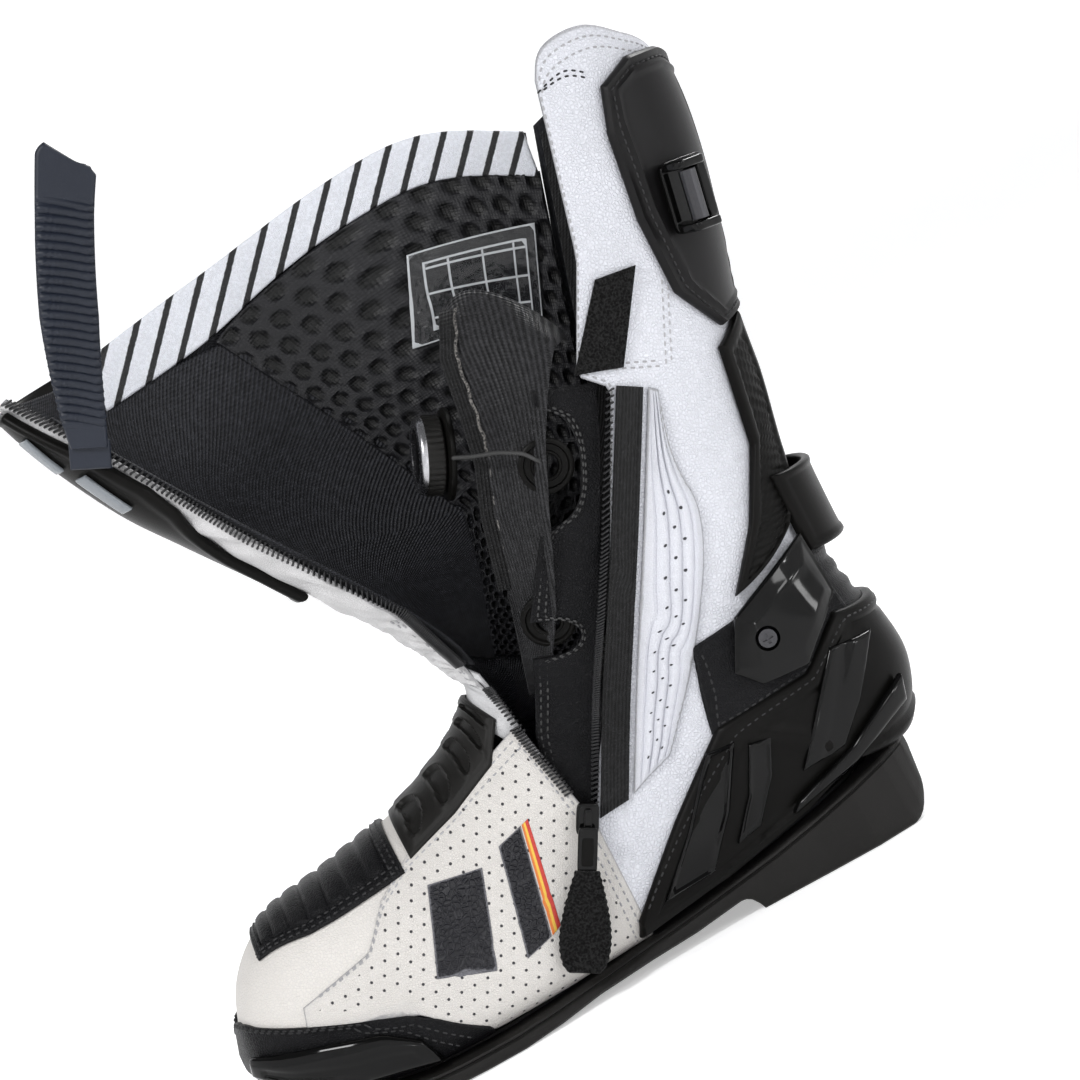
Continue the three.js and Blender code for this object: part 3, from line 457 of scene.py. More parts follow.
# %% The last
SECTIONS = np.array([
    (-274, 46, -274, 40, 4, 2, 2, 0.5), (-262, 74, -266, 27, 27, 2.2, 2.6, 0.6),
    (-240, 91, -243, 18, 41, 2.3, 4, 0.64), (-205, 97, -207, 11.5, 48.5, 2.3, 4.5, 0.66),
    (-168, 105, -165, 10.5, 50, 2.2, 4.5, 0.66), (-139, 117, -120, 11, 45, 2.2, 4, 0.62),
    (-123, 129, -75, 13.5, 41, 2.2, 3.6, 0.58), (-119, 137, -32, 19, 39.5, 2.2, 3.2, 0.56),
    (-120, 143, 6, 27, 39.5, 2.2, 3, 0.56), (-122, 148, 31, 37, 40, 2.2, 2.8, 0.55),
    (-124, 153, 44, 60, 40.5, 2.2, 2.6, 0.55), (-127, 160, 43, 84, 41.5, 2.2, 2.5, 0.55),
    (-131, 167, 38, 110, 43, 2.3, 2.4, 0.55), (-137, 178, 38, 138, 46, 2.4, 2.4, 0.55),
    (-147, 192, 40, 163, 49, 2.5, 2.4, 0.54), (-168, 222, 46, 193, 51, 2.5, 2.4, 0.54),
    (-188, 250, 52, 226, 52, 2.5, 2.4, 0.54), (-205, 275, 63, 262, 53, 2.5, 2.4, 0.54),
    (-222, 310, 72, 303, 54, 2.5, 2.4, 0.54), (-232, 340, 75, 345, 55, 2.5, 2.4, 0.54),
    (-238, 364, 76, 385, 55, 2.5, 2.4, 0.54),
], float)


def section(t):
    """The section at station t: a cubic through the rows with the slopes of their neighbours."""
    last = len(SECTIONS) - 1
    t = np.clip(t, 0, last)
    i = np.minimum(t.astype(int), last - 1)
    k = (t - i)[..., None]
    p, q, r, s = (SECTIONS[np.clip(i + j, 0, last)] for j in (-1, 0, 1, 2))
    m, n = (r - p) / 2, (s - q) / 2
    rows = ((2 * k**3 - 3 * k**2 + 1) * q + (k**3 - 2 * k**2 + k) * m
            + (3 * k**2 - 2 * k**3) * r + (k**3 - k**2) * n)
    return np.moveaxis(rows, -1, 0)


def skin(t, degrees):
    """Half a superellipse each way from the widest place, front to back, mirrored in Y."""
    fx, fz, bx, bz, w, nf, nb, wide = section(t)
    c, s = np.cos(np.radians(degrees)), np.sin(np.radians(degrees))
    n = np.where(c >= 0, nf, nb)
    power = np.abs(c) ** (2 / n)
    along = np.where(c >= 0, wide * (1 - power), wide + (1 - wide) * power)
    y = -np.sign(s) * w * np.abs(s) ** (2 / n)
    return np.stack([fx + (bx - fx) * along, y, fz + (bz - fz) * along], -1)


def skin_normal(t, degrees):
    """The outward normal, from small steps along the surface."""
    a = skin(t - 0.04, degrees) - skin(t + 0.04, degrees)
    b = skin(t, degrees - 1.5) - skin(t, degrees + 1.5)
    n = np.cross(a, b)
    n /= np.linalg.norm(n, axis=-1, keepdims=True)
    fx, fz, bx, bz, _, _, _, wide = section(t)
    middle = np.stack([fx + (bx - fx) * wide, 0 * wide, fz + (bz - fz) * wide], -1)
    inward = ((skin(t, degrees) - middle) * n).sum(-1) < 0
    return np.where(inward[..., None], -n, n)


def raised(t, degrees, height):
    """The skin pushed out along its normal by height millimetres."""
    t, degrees = np.broadcast_arrays(np.asarray(t, float), np.asarray(degrees, float))
    return skin(t, degrees) + skin_normal(t, degrees) * np.asarray(height)[..., None]


def outer(x, z):
    """Station and angle of the outer-side point that has this x and z."""
    t = np.arange(0, len(SECTIONS) - 1, 0.002)
    fx, fz, bx, bz, _, nf, nb, wide = section(t)
    side = (bx - fx) * (z - fz) - (bz - fz) * (x - fx)
    share = ((x - fx) * (bx - fx) + (z - fz) * (bz - fz)) / ((bx - fx) ** 2 + (bz - fz) ** 2)
    cross = np.nonzero((side[:-1] <= 0) != (side[1:] <= 0))[0]
    if not len(cross):
        cross = np.array([np.argmin(np.abs(side) + 1e3 * (np.abs(share - 0.5) > 0.5))])
    i = cross[np.argmin(np.abs(share[cross] - 0.5))]
    part = min(max(share[i], 0.0005), 0.9995)
    if part < wide[i]:
        cosine = (1 - part / wide[i]) ** (nf[i] / 2)
    else:
        cosine = -(((part - wide[i]) / (1 - wide[i])) ** (nb[i] / 2))
    return t[i], math.degrees(math.acos(cosine))


def line(*points):
    """A line of side-view points as stations and angles, cut every 4 mm."""
    points = np.array(points, float)
    cuts = []
    for a, b in zip(points, points[1:]):
        steps = max(1, round(np.hypot(*(b - a)) / 4))
        cuts += [a + (b - a) * k / steps for k in range(steps)]
    return np.array([outer(*p) for p in (*cuts, points[-1])])


def curve(*points):
    """A line through side-view points with its corners rounded off."""
    points = np.array(points, float)
    for _ in range(3):
        a, b = points[:-1] * 0.75 + points[1:] * 0.25, points[:-1] * 0.25 + points[1:] * 0.75
        inner = np.stack([a, b], 1).reshape(-1, 2)[1:-1]
        points = np.concatenate([points[:1], inner, points[-1:]])
    return line(*points)


def front_mirror(edge):
    return edge * (1, -1)


def back_mirror(edge):
    return edge * (1, -1) + (0, 360)


def chain(*edges):
    return np.concatenate([np.atleast_2d(e) for e in edges])


def spot(x, z):
    """One side-view point as an edge of its own."""
    return np.array([outer(x, z)])


def round_back(near, station, far):
    """An edge on the outer side, carried through the back at that station to the inner side."""
    return chain(near, [[station, 180]], back_mirror(far)[::-1])


def along(edge, share):
    """Points at a share of the edge's length."""
    step = np.hypot(20 * np.diff(edge[:, 0]), np.diff(edge[:, 1]))
    length = np.concatenate([[0], np.cumsum(step)])
    at = np.asarray(share) * length[-1]
    return np.stack([np.interp(at, length, edge[:, k]) for k in (0, 1)], -1)


def filled(left, right, low=None, high=None):
    """A Coons patch: the four edges blended, less the corners counted twice."""
    low = chain(left[0], right[0]) if low is None else low
    high = chain(left[-1], right[-1]) if high is None else high

    def at(u, v):
        u, v = np.broadcast_arrays(u, v)
        b0, b1, h0, h1 = low[0], low[-1], high[0], high[-1]
        l, r, b, h = along(left, v), along(right, v), along(low, u), along(high, u)
        u, v = u[..., None], v[..., None]
        return ((1 - v) * b + v * h + (1 - u) * l + u * r - (1 - u) * (1 - v) * b0
                - u * (1 - v) * b1 - (1 - u) * v * h0 - u * v * h1)
    return at


print("last: %d sections, length %.0f mm" % (len(SECTIONS), np.ptp(SECTIONS[:, [0, 2]])))

# %% [markdown]
# Every panel is a slab between two heights over the last, with rounded edges and closed sides.
# A grid is laid over its patch, closer near the rim so that the rounding has something to bend.

# %% Panels
ANKLE = ("foot", "shaft", (0, 0, 0.088), (0, 0, 0.125))
FOLD = ("shaft", "shin", (-0.085, 0, 0.2), (-0.140, 0, 0.2))
stitch_heaps = {}


def place(obj, motion, slot, nodes=()):
    """Joins the object to a body, or leaves it unparented where it spans two, and hides the
    imported parts it stands for.
    """
    if isinstance(motion, str):
        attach(obj, motion)
    else:
        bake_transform(obj)
    if nodes:
        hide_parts(*nodes)
    return obj


SHARP_ANGLE = 50  # degrees between faces, over which an edge is drawn sharp


def mesh_object(name, points, faces, material, uv=None, **attributes):
    """An object from points in millimetres, turned to face outwards if it doesn't."""
    points = np.asarray(points, float) * MM
    mesh = bpy.data.meshes.new(name)
    mesh.from_pydata(points.tolist(), [], [list(map(int, f)) for f in faces])
    mesh.calc_loop_triangles()
    tri = np.zeros(len(mesh.loop_triangles) * 3, np.int32)
    mesh.loop_triangles.foreach_get("vertices", tri)
    a, b, c = np.moveaxis(points[tri.reshape(-1, 3)], 1, 0)
    if (a * np.cross(b, c)).sum() < 0:
        mesh.flip_normals()
    if uv is not None:
        loops = np.zeros(len(mesh.loops), np.int32)
        mesh.loops.foreach_get("vertex_index", loops)
        mesh.uv_layers.new(name="flat").data.foreach_set(
            "uv", (np.asarray(uv)[loops] * MM).ravel().astype(np.float32))
    for key, values in attributes.items():
        mesh.attributes.new(key, "FLOAT", "POINT").data.foreach_set(
            "value", np.asarray(values, np.float32).ravel())
    mesh.shade_smooth()
    mesh.set_sharp_from_angle(angle=math.radians(SHARP_ANGLE))
    mesh.materials.append(material)
    obj = bpy.data.objects.new(name, mesh)
    bpy.context.scene.collection.objects.link(obj)
    return obj


def grid_faces(rows, columns, start=0, closed=False):
    """Quads of a grid of rows by columns; closed joins the last column to the first."""
    r, c = np.meshgrid(np.arange(rows - 1), np.arange(columns - (not closed)), indexing="ij")
    d = (c + 1) % columns
    return (start + np.stack([r * columns + c, r * columns + d, (r + 1) * columns + d,
                              (r + 1) * columns + c], -1)).reshape(-1, 4)


def shell_faces(rows, columns):
    """Faces of two such grids, one behind the other, and of the wall round them."""
    n = rows * columns
    index = np.arange(n).reshape(rows, columns)
    loop = np.concatenate([index[0], index[1:, -1], index[-1, -2::-1], index[-2:0:-1, 0]])
    following = np.roll(loop, -1)
    wall = np.stack([loop, loop + n, following + n, following], -1)
    return np.concatenate([grid_faces(rows, columns), grid_faces(rows, columns, n)[:, ::-1],
                           wall])


def rim_spaced(length, step, rounding):
    """Shares from 0 to 1, even inside and closer within the rounding."""
    near = np.array([0, 0.12, 0.4, 1.0]) * min(rounding, 0.3 * length) / length
    inside = np.linspace(near[-1], 1 - near[-1], max(3, round(length / step) + 1))
    return np.concatenate([near[:-1], inside, 1 - near[:-1][::-1]])


def sizes(patch):
    """Mean width and length of a patch, in millimetres."""
    g = np.linspace(0, 1, 25)
    p = skin(*np.moveaxis(patch(*np.meshgrid(g, g)), -1, 0))
    return (np.linalg.norm(np.diff(p, axis=1), axis=-1).sum(1).mean(),
            np.linalg.norm(np.diff(p, axis=0), axis=-1).sum(0).mean())


def slab(name, patch, low, high, material, motion, slot, nodes=(), step=2.5, relief=None,
         inside=False, rounding=0.8, side_uv=False, backing=None):
    """A panel from height low to high, numbers or functions of u and v; relief(u mm, v mm, rim
    mm, u, v) adds to the seen side. backing is the material of its hidden side."""
    width, length = sizes(patch)
    u, v = np.meshgrid(rim_spaced(width, step, rounding), rim_spaced(length, step, rounding))
    t, a = np.moveaxis(patch(u, v), -1, 0)
    base, normal = skin(t, a), skin_normal(t, a)
    across = np.linalg.norm(np.diff(base, axis=1), axis=-1).sum(1)[:, None]
    down = np.linalg.norm(np.diff(base, axis=0), axis=-1).sum(0)[None]
    rim = np.minimum(np.minimum(u, 1 - u) * across, np.minimum(v, 1 - v) * down)
    soft = rounding * (1 - np.sqrt(1 - np.clip(1 - rim / rounding, 0, 1) ** 2))
    extra = 0 * u if relief is None else relief(u * width, v * length, rim, u, v)
    extra = extra * np.clip(rim / max(rounding, 1e-6), 0, 1)
    low, high = (h(u, v) if callable(h) else h for h in (low, high))
    outside = high - soft + (0 if inside else extra)
    under = low + soft - (extra if inside else 0)
    points = np.concatenate([(base + normal * outside[..., None]).reshape(-1, 3),
                             (base + normal * under[..., None]).reshape(-1, 3)])
    rows, columns = u.shape
    flat = points[:, [0, 2]] if side_uv else np.tile(
        np.stack([u * width, v * length], -1).reshape(-1, 2), (2, 1))
    obj = mesh_object(name, points, shell_faces(rows, columns), material, flat,
                      rim=np.tile(rim.ravel(), 2),
                      pit=np.tile(np.clip(-extra, 0, 1).ravel(), 2))
    if backing is not None:
        obj.data.materials.append(backing)
        hidden = np.zeros(len(obj.data.polygons), np.int32)
        quads = (rows - 1) * (columns - 1)
        hidden[quads:2 * quads] = 1
        obj.data.polygons.foreach_set("material_index", hidden)
    return place(obj, motion, slot, nodes)


# %% [markdown]
# A stitch is a short plump grain of thread that dives into the leather at both ends. Rows of
# them run a few millimetres inside the edges of the panels, single or double as on the boot.

# %% Stitches and teeth
def side_of(patch, side, inset=2.5, start=0.0, end=1.0):
    """Points in a patch at inset millimetres from one of its sides."""
    width, length = sizes(patch)
    k = np.linspace(start, end, 60)
    x, y = inset / width, inset / length
    u, v = {"left": (x, k), "right": (1 - x, k), "low": (k, y), "high": (k, 1 - y)}[side]
    return patch(u + 0 * k, v + 0 * k)


def sew(points_ta, height, color="white", motion="foot", length=2.6, gap=1.0, width=0.85):
    """Stitches along a line of stations and angles, put on the heap of their motion."""
    place_mm = raised(*np.moveaxis(points_ta, -1, 0), height)
    run = np.concatenate([[0], np.cumsum(np.linalg.norm(np.diff(place_mm, axis=0), axis=1))])
    if run[-1] < length:
        return
    at = np.arange(0, run[-1] - length, length + gap)
    t0, t1 = (np.stack([np.interp(at + d, run, points_ta[:, k]) for k in (0, 1)], -1)
              for d in (0, length))
    middle_ta = (t0 + t1) / 2
    normal = skin_normal(*np.moveaxis(middle_ta, -1, 0))
    a, b = (raised(*np.moveaxis(x, -1, 0), height - 0.25) for x in (t0, t1))
    side = np.cross(b - a, normal)
    side *= width / 2 / np.linalg.norm(side, axis=1, keepdims=True)
    middle = (a + b) / 2 + normal * 0.25
    q = (b - a) * 0.28
    ring = [middle + s * q + w for s in (-1, 1)
            for w in (side, normal * 0.42, -side, -normal * 0.5)]
    points = np.stack([a, *ring, b], 1)
    faces = [(0, 1, 2), (0, 2, 3), (0, 3, 4), (0, 4, 1), (1, 5, 6, 2), (2, 6, 7, 3),
             (3, 7, 8, 4), (4, 8, 5, 1), (9, 6, 5), (9, 7, 6), (9, 8, 7), (9, 5, 8)]
    stitch_heaps.setdefault((color, motion), []).append((points, faces))


ROW_GAP = 2.6  # millimetres between the two rows of a double seam


def double_sew(patch, side, inset, height, **options):
    """Two parallel rows."""
    span = {k: options.pop(k) for k in ("start", "end") if k in options}
    for d in (0, ROW_GAP):
        sew(side_of(patch, side, inset + d, **span), height, **options)


def pour(heaps, name, material):
    """One mesh from many small ones of the same layout."""
    points, faces, n = [], [], 0
    for block, layout in heaps:
        for one in block:
            points.append(one)
            faces += [tuple(n + k for k in f) for f in layout]
            n += len(one)
    return mesh_object(name, np.concatenate(points), faces, material)


def teeth(name, left, right, height, motion, nodes, pitch=1.6, depth=2.2):
    """Moulded zip teeth between two lines: rounded blocks with a nose, one per pitch."""
    a = raised(*np.moveaxis(left, -1, 0), height)
    run = np.concatenate([[0], np.cumsum(np.linalg.norm(np.diff(a, axis=0), axis=1))])
    at = np.arange(pitch / 2, run[-1], pitch) / run[-1]
    la, ra = along(left, at), along(right, at)
    p = raised(*np.moveaxis(la, -1, 0), height)
    q = raised(*np.moveaxis(ra, -1, 0), height)
    normal = skin_normal(*np.moveaxis((la + ra) / 2, -1, 0))
    across = q - p
    way = np.cross(normal, across)
    way *= pitch * 0.34 / np.linalg.norm(way, axis=1, keepdims=True)
    rings = []
    for share, tall, thick in ((-0.08, 0.5, 0.7), (0.15, 1, 1), (0.7, 1, 0.72), (1.05, 0.8, 1.15),
                               (1.16, 0.35, 0.8)):
        c = p + across * share
        for sw, sn in ((-1, 0), (-0.6, 1), (0.6, 1), (1, 0), (0.6, -1), (-0.6, -1)):
            rings.append(c + way * sw * thick + normal * (sn * depth / 2 * tall))
    faces = [tuple(range(6))[::-1], tuple(range(24, 30))]
    faces += [(r * 6 + k, r * 6 + (k + 1) % 6, r * 6 + 6 + (k + 1) % 6, r * 6 + 6 + k)
              for r in range(4) for k in range(6)]
    obj = pour([(np.stack(rings, 1), faces)], name, zip_plastic)
    return place(obj, motion, "zip_teeth", nodes)


# %% [markdown]
# The sole is a thin rubber unit with a stepped heel block. Its outline, upper face and lower
# face are read from one table. Grooves are pressed into the underside, and two fine lines run
# round the edge, as a mould leaves them.

# %% Sole
SOLE = np.array([
    (-275, 7, 32, 26.5), (-271, 18, 28.5, 22.5), (-262, 29, 23.5, 16.5), (-250, 37, 18.5, 11),
    (-238, 43, 14.8, 7), (-222, 48, 11.5, 3.4), (-206, 50.5, 9.4, 1), (-195, 51.5, 8.8, 0.3),
    (-185, 51.5, 8.6, 0), (-168, 51, 8.5, 0), (-150, 48, 9.2, 1.2), (-131, 43.5, 10.4, 3.3),
    (-105, 38.5, 12.2, 4.4), (-84, 36, 14, 5), (-62, 35, 16.6, 7.4), (-54, 35, 17.6, 0),
    (-40, 35.3, 19.6, 0), (-20, 36.3, 23.5, 0), (0, 36.5, 28, 0), (17, 32, 32, 0),
    (23, 28, 33.4, 6), (28, 22, 34.2, 18), (31, 14, 34.6, 28),
], float)


def sole_layer(name, material, slot, node, inset, rise, thick, start, end, tread=False):
    """A layer of the sole, from rise to rise + thick over the upper face, or the unit itself."""
    x = np.unique(np.concatenate([np.linspace(start, end, 150),
                                  [k for k in SOLE[:, 0] if start < k < end]]))
    half, top, bottom = (np.interp(x, SOLE[:, 0], SOLE[:, k]) for k in (1, 2, 3))
    behind = np.clip((x - 17) / 14, 0, 1)
    bottom = np.where(x > 17, 28 * (1 - np.sqrt(1 - behind**2)), bottom)
    under_arch = np.clip((x + 62) / 8, 0, 1)
    bottom = np.where((x > -62) & (x <= -54), 7.4 * (1 - under_arch**3), bottom)
    half = half - inset
    if inset:
        ends = np.sqrt(np.clip(1 - np.clip(1 - (end - x) / 30, 0, 1) ** 2, 0.02, 1)) * np.sqrt(
            np.clip(1 - np.clip(1 - (x - start) / 30, 0, 1) ** 2, 0.02, 1))
        half = half * ends
        bottom, top = top + rise, top + rise + thick
    rings = []
    k = np.linspace(-1, 1, 45)
    for xi, w, hi, lo in zip(x, half, top, bottom):
        cut = np.zeros_like(k)
        if tread:
            zig = xi + 3.5 * np.abs((k * w / 9) % 2 - 1)
            cut = 1.4 * ((zig % 11) < 2.6) * (np.abs(k) < 0.88)
            cut = np.minimum(cut, 0.3 * (hi - lo)) * ((xi < -64) | (xi > -48))
        edge = min(0.9, (hi - lo) * 0.2)
        line_at = 1 - 2.6 / max(hi - lo, 6)
        line_wide = 0.4 / max(hi - lo, 6)
        wall = np.array([0.2, line_at - 2 * line_wide, line_at - line_wide, line_at,
                         line_at + line_wide, line_at + 2 * line_wide]) if tread else \
            np.array([0.3, 0.7])
        dent = np.array([-0.6, 0, 0.7, 0.9, 0.7, -0.3]) if tread else np.zeros(2)
        under = [(w * a, lo + c + (edge if abs(a) > 0.985 else 0))
                 for a, c in zip(k, cut)]
        rise_side = [(w - d, lo + (hi - lo) * s) for s, d in zip(wall, dent)]
        over = [(w * a, hi - (edge if abs(a) > 0.985 else 0)) for a in k[::-1]]
        fall_side = [(-(w - d), lo + (hi - lo) * s) for s, d in zip(wall[::-1], dent[::-1])]
        rings.append([(xi, y, z) for y, z in under + rise_side + over + fall_side])
    rings = np.array(rings)
    rows, columns = rings.shape[:2]
    faces = [tuple(f) for f in grid_faces(rows, columns, closed=True)]
    faces += [tuple(range(columns))[::-1], tuple(range((rows - 1) * columns, rows * columns))]
    flat = rings.reshape(-1, 3)[:, :2]
    obj = mesh_object(name, rings.reshape(-1, 3), faces, material, flat)
    return place(obj, "foot", slot, [node])


sole_layer("sole_unit", sole_rubber, "sole_rubber", "outsole", 0, 0, 0, -275, 31, tread=True)
insole = sole_layer("insole", knit_lining, "knit_lining", "footbed", 13, 3.4, 4.1, -250, 16)
sole_layer("lasting_board", satin_plastic, "satin_plastic", "midsole_board", 12, 0.5, 2.1,
           -256, 20)
print("sole done")

# %% [markdown]
# The forefoot: a matte rand wraps the toe from the sole up, a smooth white dome closes it, and
# a padded gear-change patch lies over the dome. A glossy replaceable slider is screwed to the
# outer edge. The vamp is perforated leather; over the instep a ribbed rubber bellows lets the
# ankle bend.

# %% Forefoot
RAND_EDGE = line((-270, 62), (-243, 51), (-220, 43), (-200, 35), (-187, 24), (-176, 16.5))
VAMP_SEAM = line((-243, 55), (-233, 61), (-203, 67), (-192, 80), (-174, 92))


def station_at(edge, angle):
    """The station of an edge at an angle, by its own angles."""
    order = np.argsort(edge[:, 1])
    return np.interp(np.abs(angle), edge[order, 1], edge[order, 0])


def rand_patch(u, v):
    angle = -139 + 278 * u
    return np.stack([0.03 + v * (station_at(RAND_EDGE, angle) - 0.03), angle + 0 * v], -1)


def toe_box_patch(u, v):
    angle = -92 + 184 * u
    start = station_at(RAND_EDGE, angle) - 0.12
    return np.stack([start + v * (station_at(VAMP_SEAM, angle) + 0.22 - start), angle + 0 * v],
                    -1)


slab("toe_rand_leather", rand_patch, 0, 3.4, black_leather, "foot", "black_leather",
     ["toe_rand"], step=3)
double_sew(rand_patch, "high", 3.0, 3.4, color="black", start=0.04, end=0.96)
slab("toe_dome", toe_box_patch, 0, 1.5, white_toe, "foot", "white_leather", ["toe_box"],
     step=2, backing=twill_lining)

shift_patch = filled(np.array([(1.75, -36), (2.5, -44), (3.75, -46)], float),
                     np.array([(1.75, 36), (2.5, 44), (3.75, 46)], float))


def pad_relief(x, y, rim, u, v):
    """A field set in a rim, crossed by seven crisp grooves."""
    groove = np.exp(-((((v * 8.0) % 1) - 0.5) / 0.11) ** 2)
    swell = np.sin(((v * 8.0 + 0.5) % 1) * math.pi)
    field = np.clip((rim - 6) / 1.0, 0, 1)
    return (-0.8 * np.exp(-((rim - 6) / 0.7) ** 2) + field * (0.1 + 0.5 * swell - 0.9 * groove))


gear_pad = slab("gear_pad", shift_patch, 1.4, 3.6, black_leather, "foot", "black_leather",
                ["shift_pad"], step=1.2, rounding=1.2, relief=pad_relief)
for side in ("left", "right", "low", "high"):
    double_sew(shift_patch, side, 2.0, 3.6, color="black")

slider_patch = filled(line((-268, 41), (-266, 48)), line((-199, 17), (-203, 26)),
                      line((-268, 41), (-255, 32), (-235, 24), (-199, 17)),
                      line((-266, 48), (-240, 42), (-216, 35), (-203, 26)))
slab("toe_slider_plate", slider_patch, 2.6, 8, gloss_plastic, "foot", "gloss_plastic",
     ["toe_slider"], step=1.5, rounding=2.2,
     relief=lambda x, y, rim, u, v: -0.9 * (np.abs(v - 0.5) < 0.12) * (u > 0.12) * (u < 0.88))

vamp_low = [(-243, 50), (-223, 42), (-199, 34), (-186, 22), (-175, 14), (-140, 13.5)]
vamp_high = [(-240, 58.5), (-205, 66), (-191, 81), (-173, 91), (-148, 99.5)]
vamp_outer = filled(line((-243, 50), (-240, 58.5)),
                    line((-100, 14.5), (-98, 66), (-103, 92), (-109, 116)),
                    line(*vamp_low, (-100, 14.5)),
                    line(*vamp_high, (-124, 110), (-109, 116)))
vamp_inner = filled(front_mirror(line((-243, 50), (-240, 58.5))),
                    front_mirror(line((-94, 16), (-78, 60), (-78, 114))),
                    front_mirror(line(*vamp_low, (-110, 15), (-94, 16))),
                    front_mirror(line(*vamp_high, (-122, 110), (-78, 114))))
slab("vamp_outer", vamp_outer, 0.4, 2.2, white_perforated, "foot", "white_leather",
     ["vamp_lateral"], step=2, side_uv=True, backing=twill_lining)
slab("vamp_inner", vamp_inner, 0.4, 2.2, white_perforated, "foot", "white_leather",
     ["vamp_medial"], step=2, side_uv=True, backing=twill_lining)
for patch in (vamp_outer, vamp_inner):
    double_sew(patch, "high", 2.5, 2.2, start=0.05, end=0.97)
    double_sew(patch, "right", 2.5, 2.2, start=0.05, end=0.97)

bellows_edge = line((-172, 89), (-147, 96.5), (-124, 106.5), (-113, 122))
bellows = filled(front_mirror(bellows_edge), bellows_edge)
BELLOWS_BEND = ("foot", "shaft", (-0.165, 0, 0.09), (-0.115, 0, 0.124))


def bellows_relief(x, y, rim, u, v):
    """Two columns of five curved slots, each in a raised lip, over soft ribs."""
    side = np.abs(u - 0.5)
    row = v * 5.2 - 0.1 + 0.9 * (side - 0.25) ** 2 * 8
    off = np.abs((row % 1) - 0.5) / 0.23
    reach = np.abs(side - 0.25) / 0.17
    slot = 1 - np.clip((off**2 + reach**4 - 0.75) / 0.45, 0, 1)
    lip = np.exp(-((off**2 + reach**4 - 1.35) / 0.35) ** 2)
    return np.clip((rim - 2) / 1.5, 0, 1) * (0.5 * lip - 1.7 * slot + 0.5)


slab("instep_bellows", bellows, 1.2, 3.2, black_rubber, BELLOWS_BEND, "black_rubber",
     ["instep_flex_panel"], step=0.7, relief=bellows_relief)
print("forefoot done")

# %% [markdown]
# Two plain slanted patches of crackled leather are laid on the outer vamp, the second with a
# narrow edge in warm colours. They carry no sign or letter.

# %% Vamp appliques
def stripe_finish():
    """Orange, yellow and red side by side along the piece."""
    shader = Shader("warm_stripe", Coat_Weight=0.1)
    u, v, _ = shader.split(shader.uv)
    grain = pebbles(shader, 1.0)
    color = shader.mix((u * 1000).step(1.0, 1.5), (0.62, 0.16, 0.02), (0.72, 0.46, 0.05))
    color = shader.mix((u * 1000).step(2.2, 2.8), color, (0.48, 0.03, 0.02))
    return shader.finish(color, 0.45, grain, 0.12)


first = filled(line((-186, 44), (-171, 78)), line((-163, 35), (-148, 74)),
               line((-186, 44), (-163, 35)), line((-171, 78), (-148, 74)))
slab("crackle_flash", first, 1.8, 2.6, crackle_black, "foot", "black_leather", step=1.5,
     rounding=0.4)
bar = filled(line((-150, 33), (-138, 78)), line((-137, 36), (-126, 81)))
slab("crackle_bar", bar, 1.8, 2.6, crackle_black, "foot", "black_leather", step=1.5,
     rounding=0.4)
warm = filled(line((-136.5, 36), (-125.5, 81)), line((-131.5, 38), (-122, 82)))
slab("warm_stripe", warm, 1.8, 2.5, stripe_finish(), "foot", "black_leather", step=1.2,
     rounding=0.4)
print("appliques done")

# %% [markdown]
# The rear quarter is one sheet of white leather from the sole to the collar, carried round the
# back. The heel has a stiff shell over it with two glossy windows and a big glossy insert each
# side, and a replaceable slider low on the heel.

# %% Quarter and heel
quarter_left = line((-103, 16), (-106, 30), (-98, 67), (-84, 90), (-68, 112), (-7, 222),
                    (-17, 233), (6, 275), (26, 346))
quarter_right = back_mirror(line((-99, 20), (-103, 24), (-92, 90), (-66, 122), (-22, 200),
                                 (20, 326)))
quarter_low = line((-103, 16), (-60, 24), (-20, 31), (8, 39))
quarter_high = curve((26, 346), (33, 358), (54, 358), (66, 346))
quarter_low_in = line((-99, 20), (-60, 24), (-20, 31), (8, 39))
quarter = filled(quarter_left, quarter_right,
                 round_back(quarter_low, 9.75, quarter_low_in),
                 round_back(quarter_high, 18.66, line((20, 326), (42, 333), (60, 335))))
slab("quarter", quarter, 0, 2, white_smooth, ANKLE, "white_leather",
     ["quarter_lower", "quarter_upper"], step=3, backing=twill_lining)
double_sew(quarter, "high", 2.5, 2.0, start=0.02, end=0.98, motion="shaft")
sew(side_of(quarter, "left", 2.5, 0.62, 0.99), 2.0, motion="shaft")

for shift in (0, ROW_GAP):
    sew(line((-6 - shift * 0.3, 230 + shift), (16, 219 + shift)), 2.0, motion="shaft")
    sew(line((17 + shift, 219), (33 + shift, 252)), 2.0, motion="shaft")
    sew(curve((24 + shift, 341), (38, 345 - shift), (46, 338 - shift)), 2.0, color="black",
        motion="shaft")

counter_low = line((-106, 18.5), (-60, 23), (-20, 31), (7, 39.5))
counter_high = line((-103, 24), (-70, 52), (-36, 78), (6, 80), (26, 95))
counter = filled(chain(counter_low[0], counter_high[0]),
                 back_mirror(chain(counter_low[0], counter_high[0])),
                 round_back(counter_low, 9.25, counter_low),
                 round_back(counter_high, 11.3, counter_high))


def border(width, tall):
    """A raised rim of that width in millimetres, rounded at its inner side."""
    return lambda x, y, rim, u, v: tall * np.clip((width - rim) / 1.2, 0, 1)


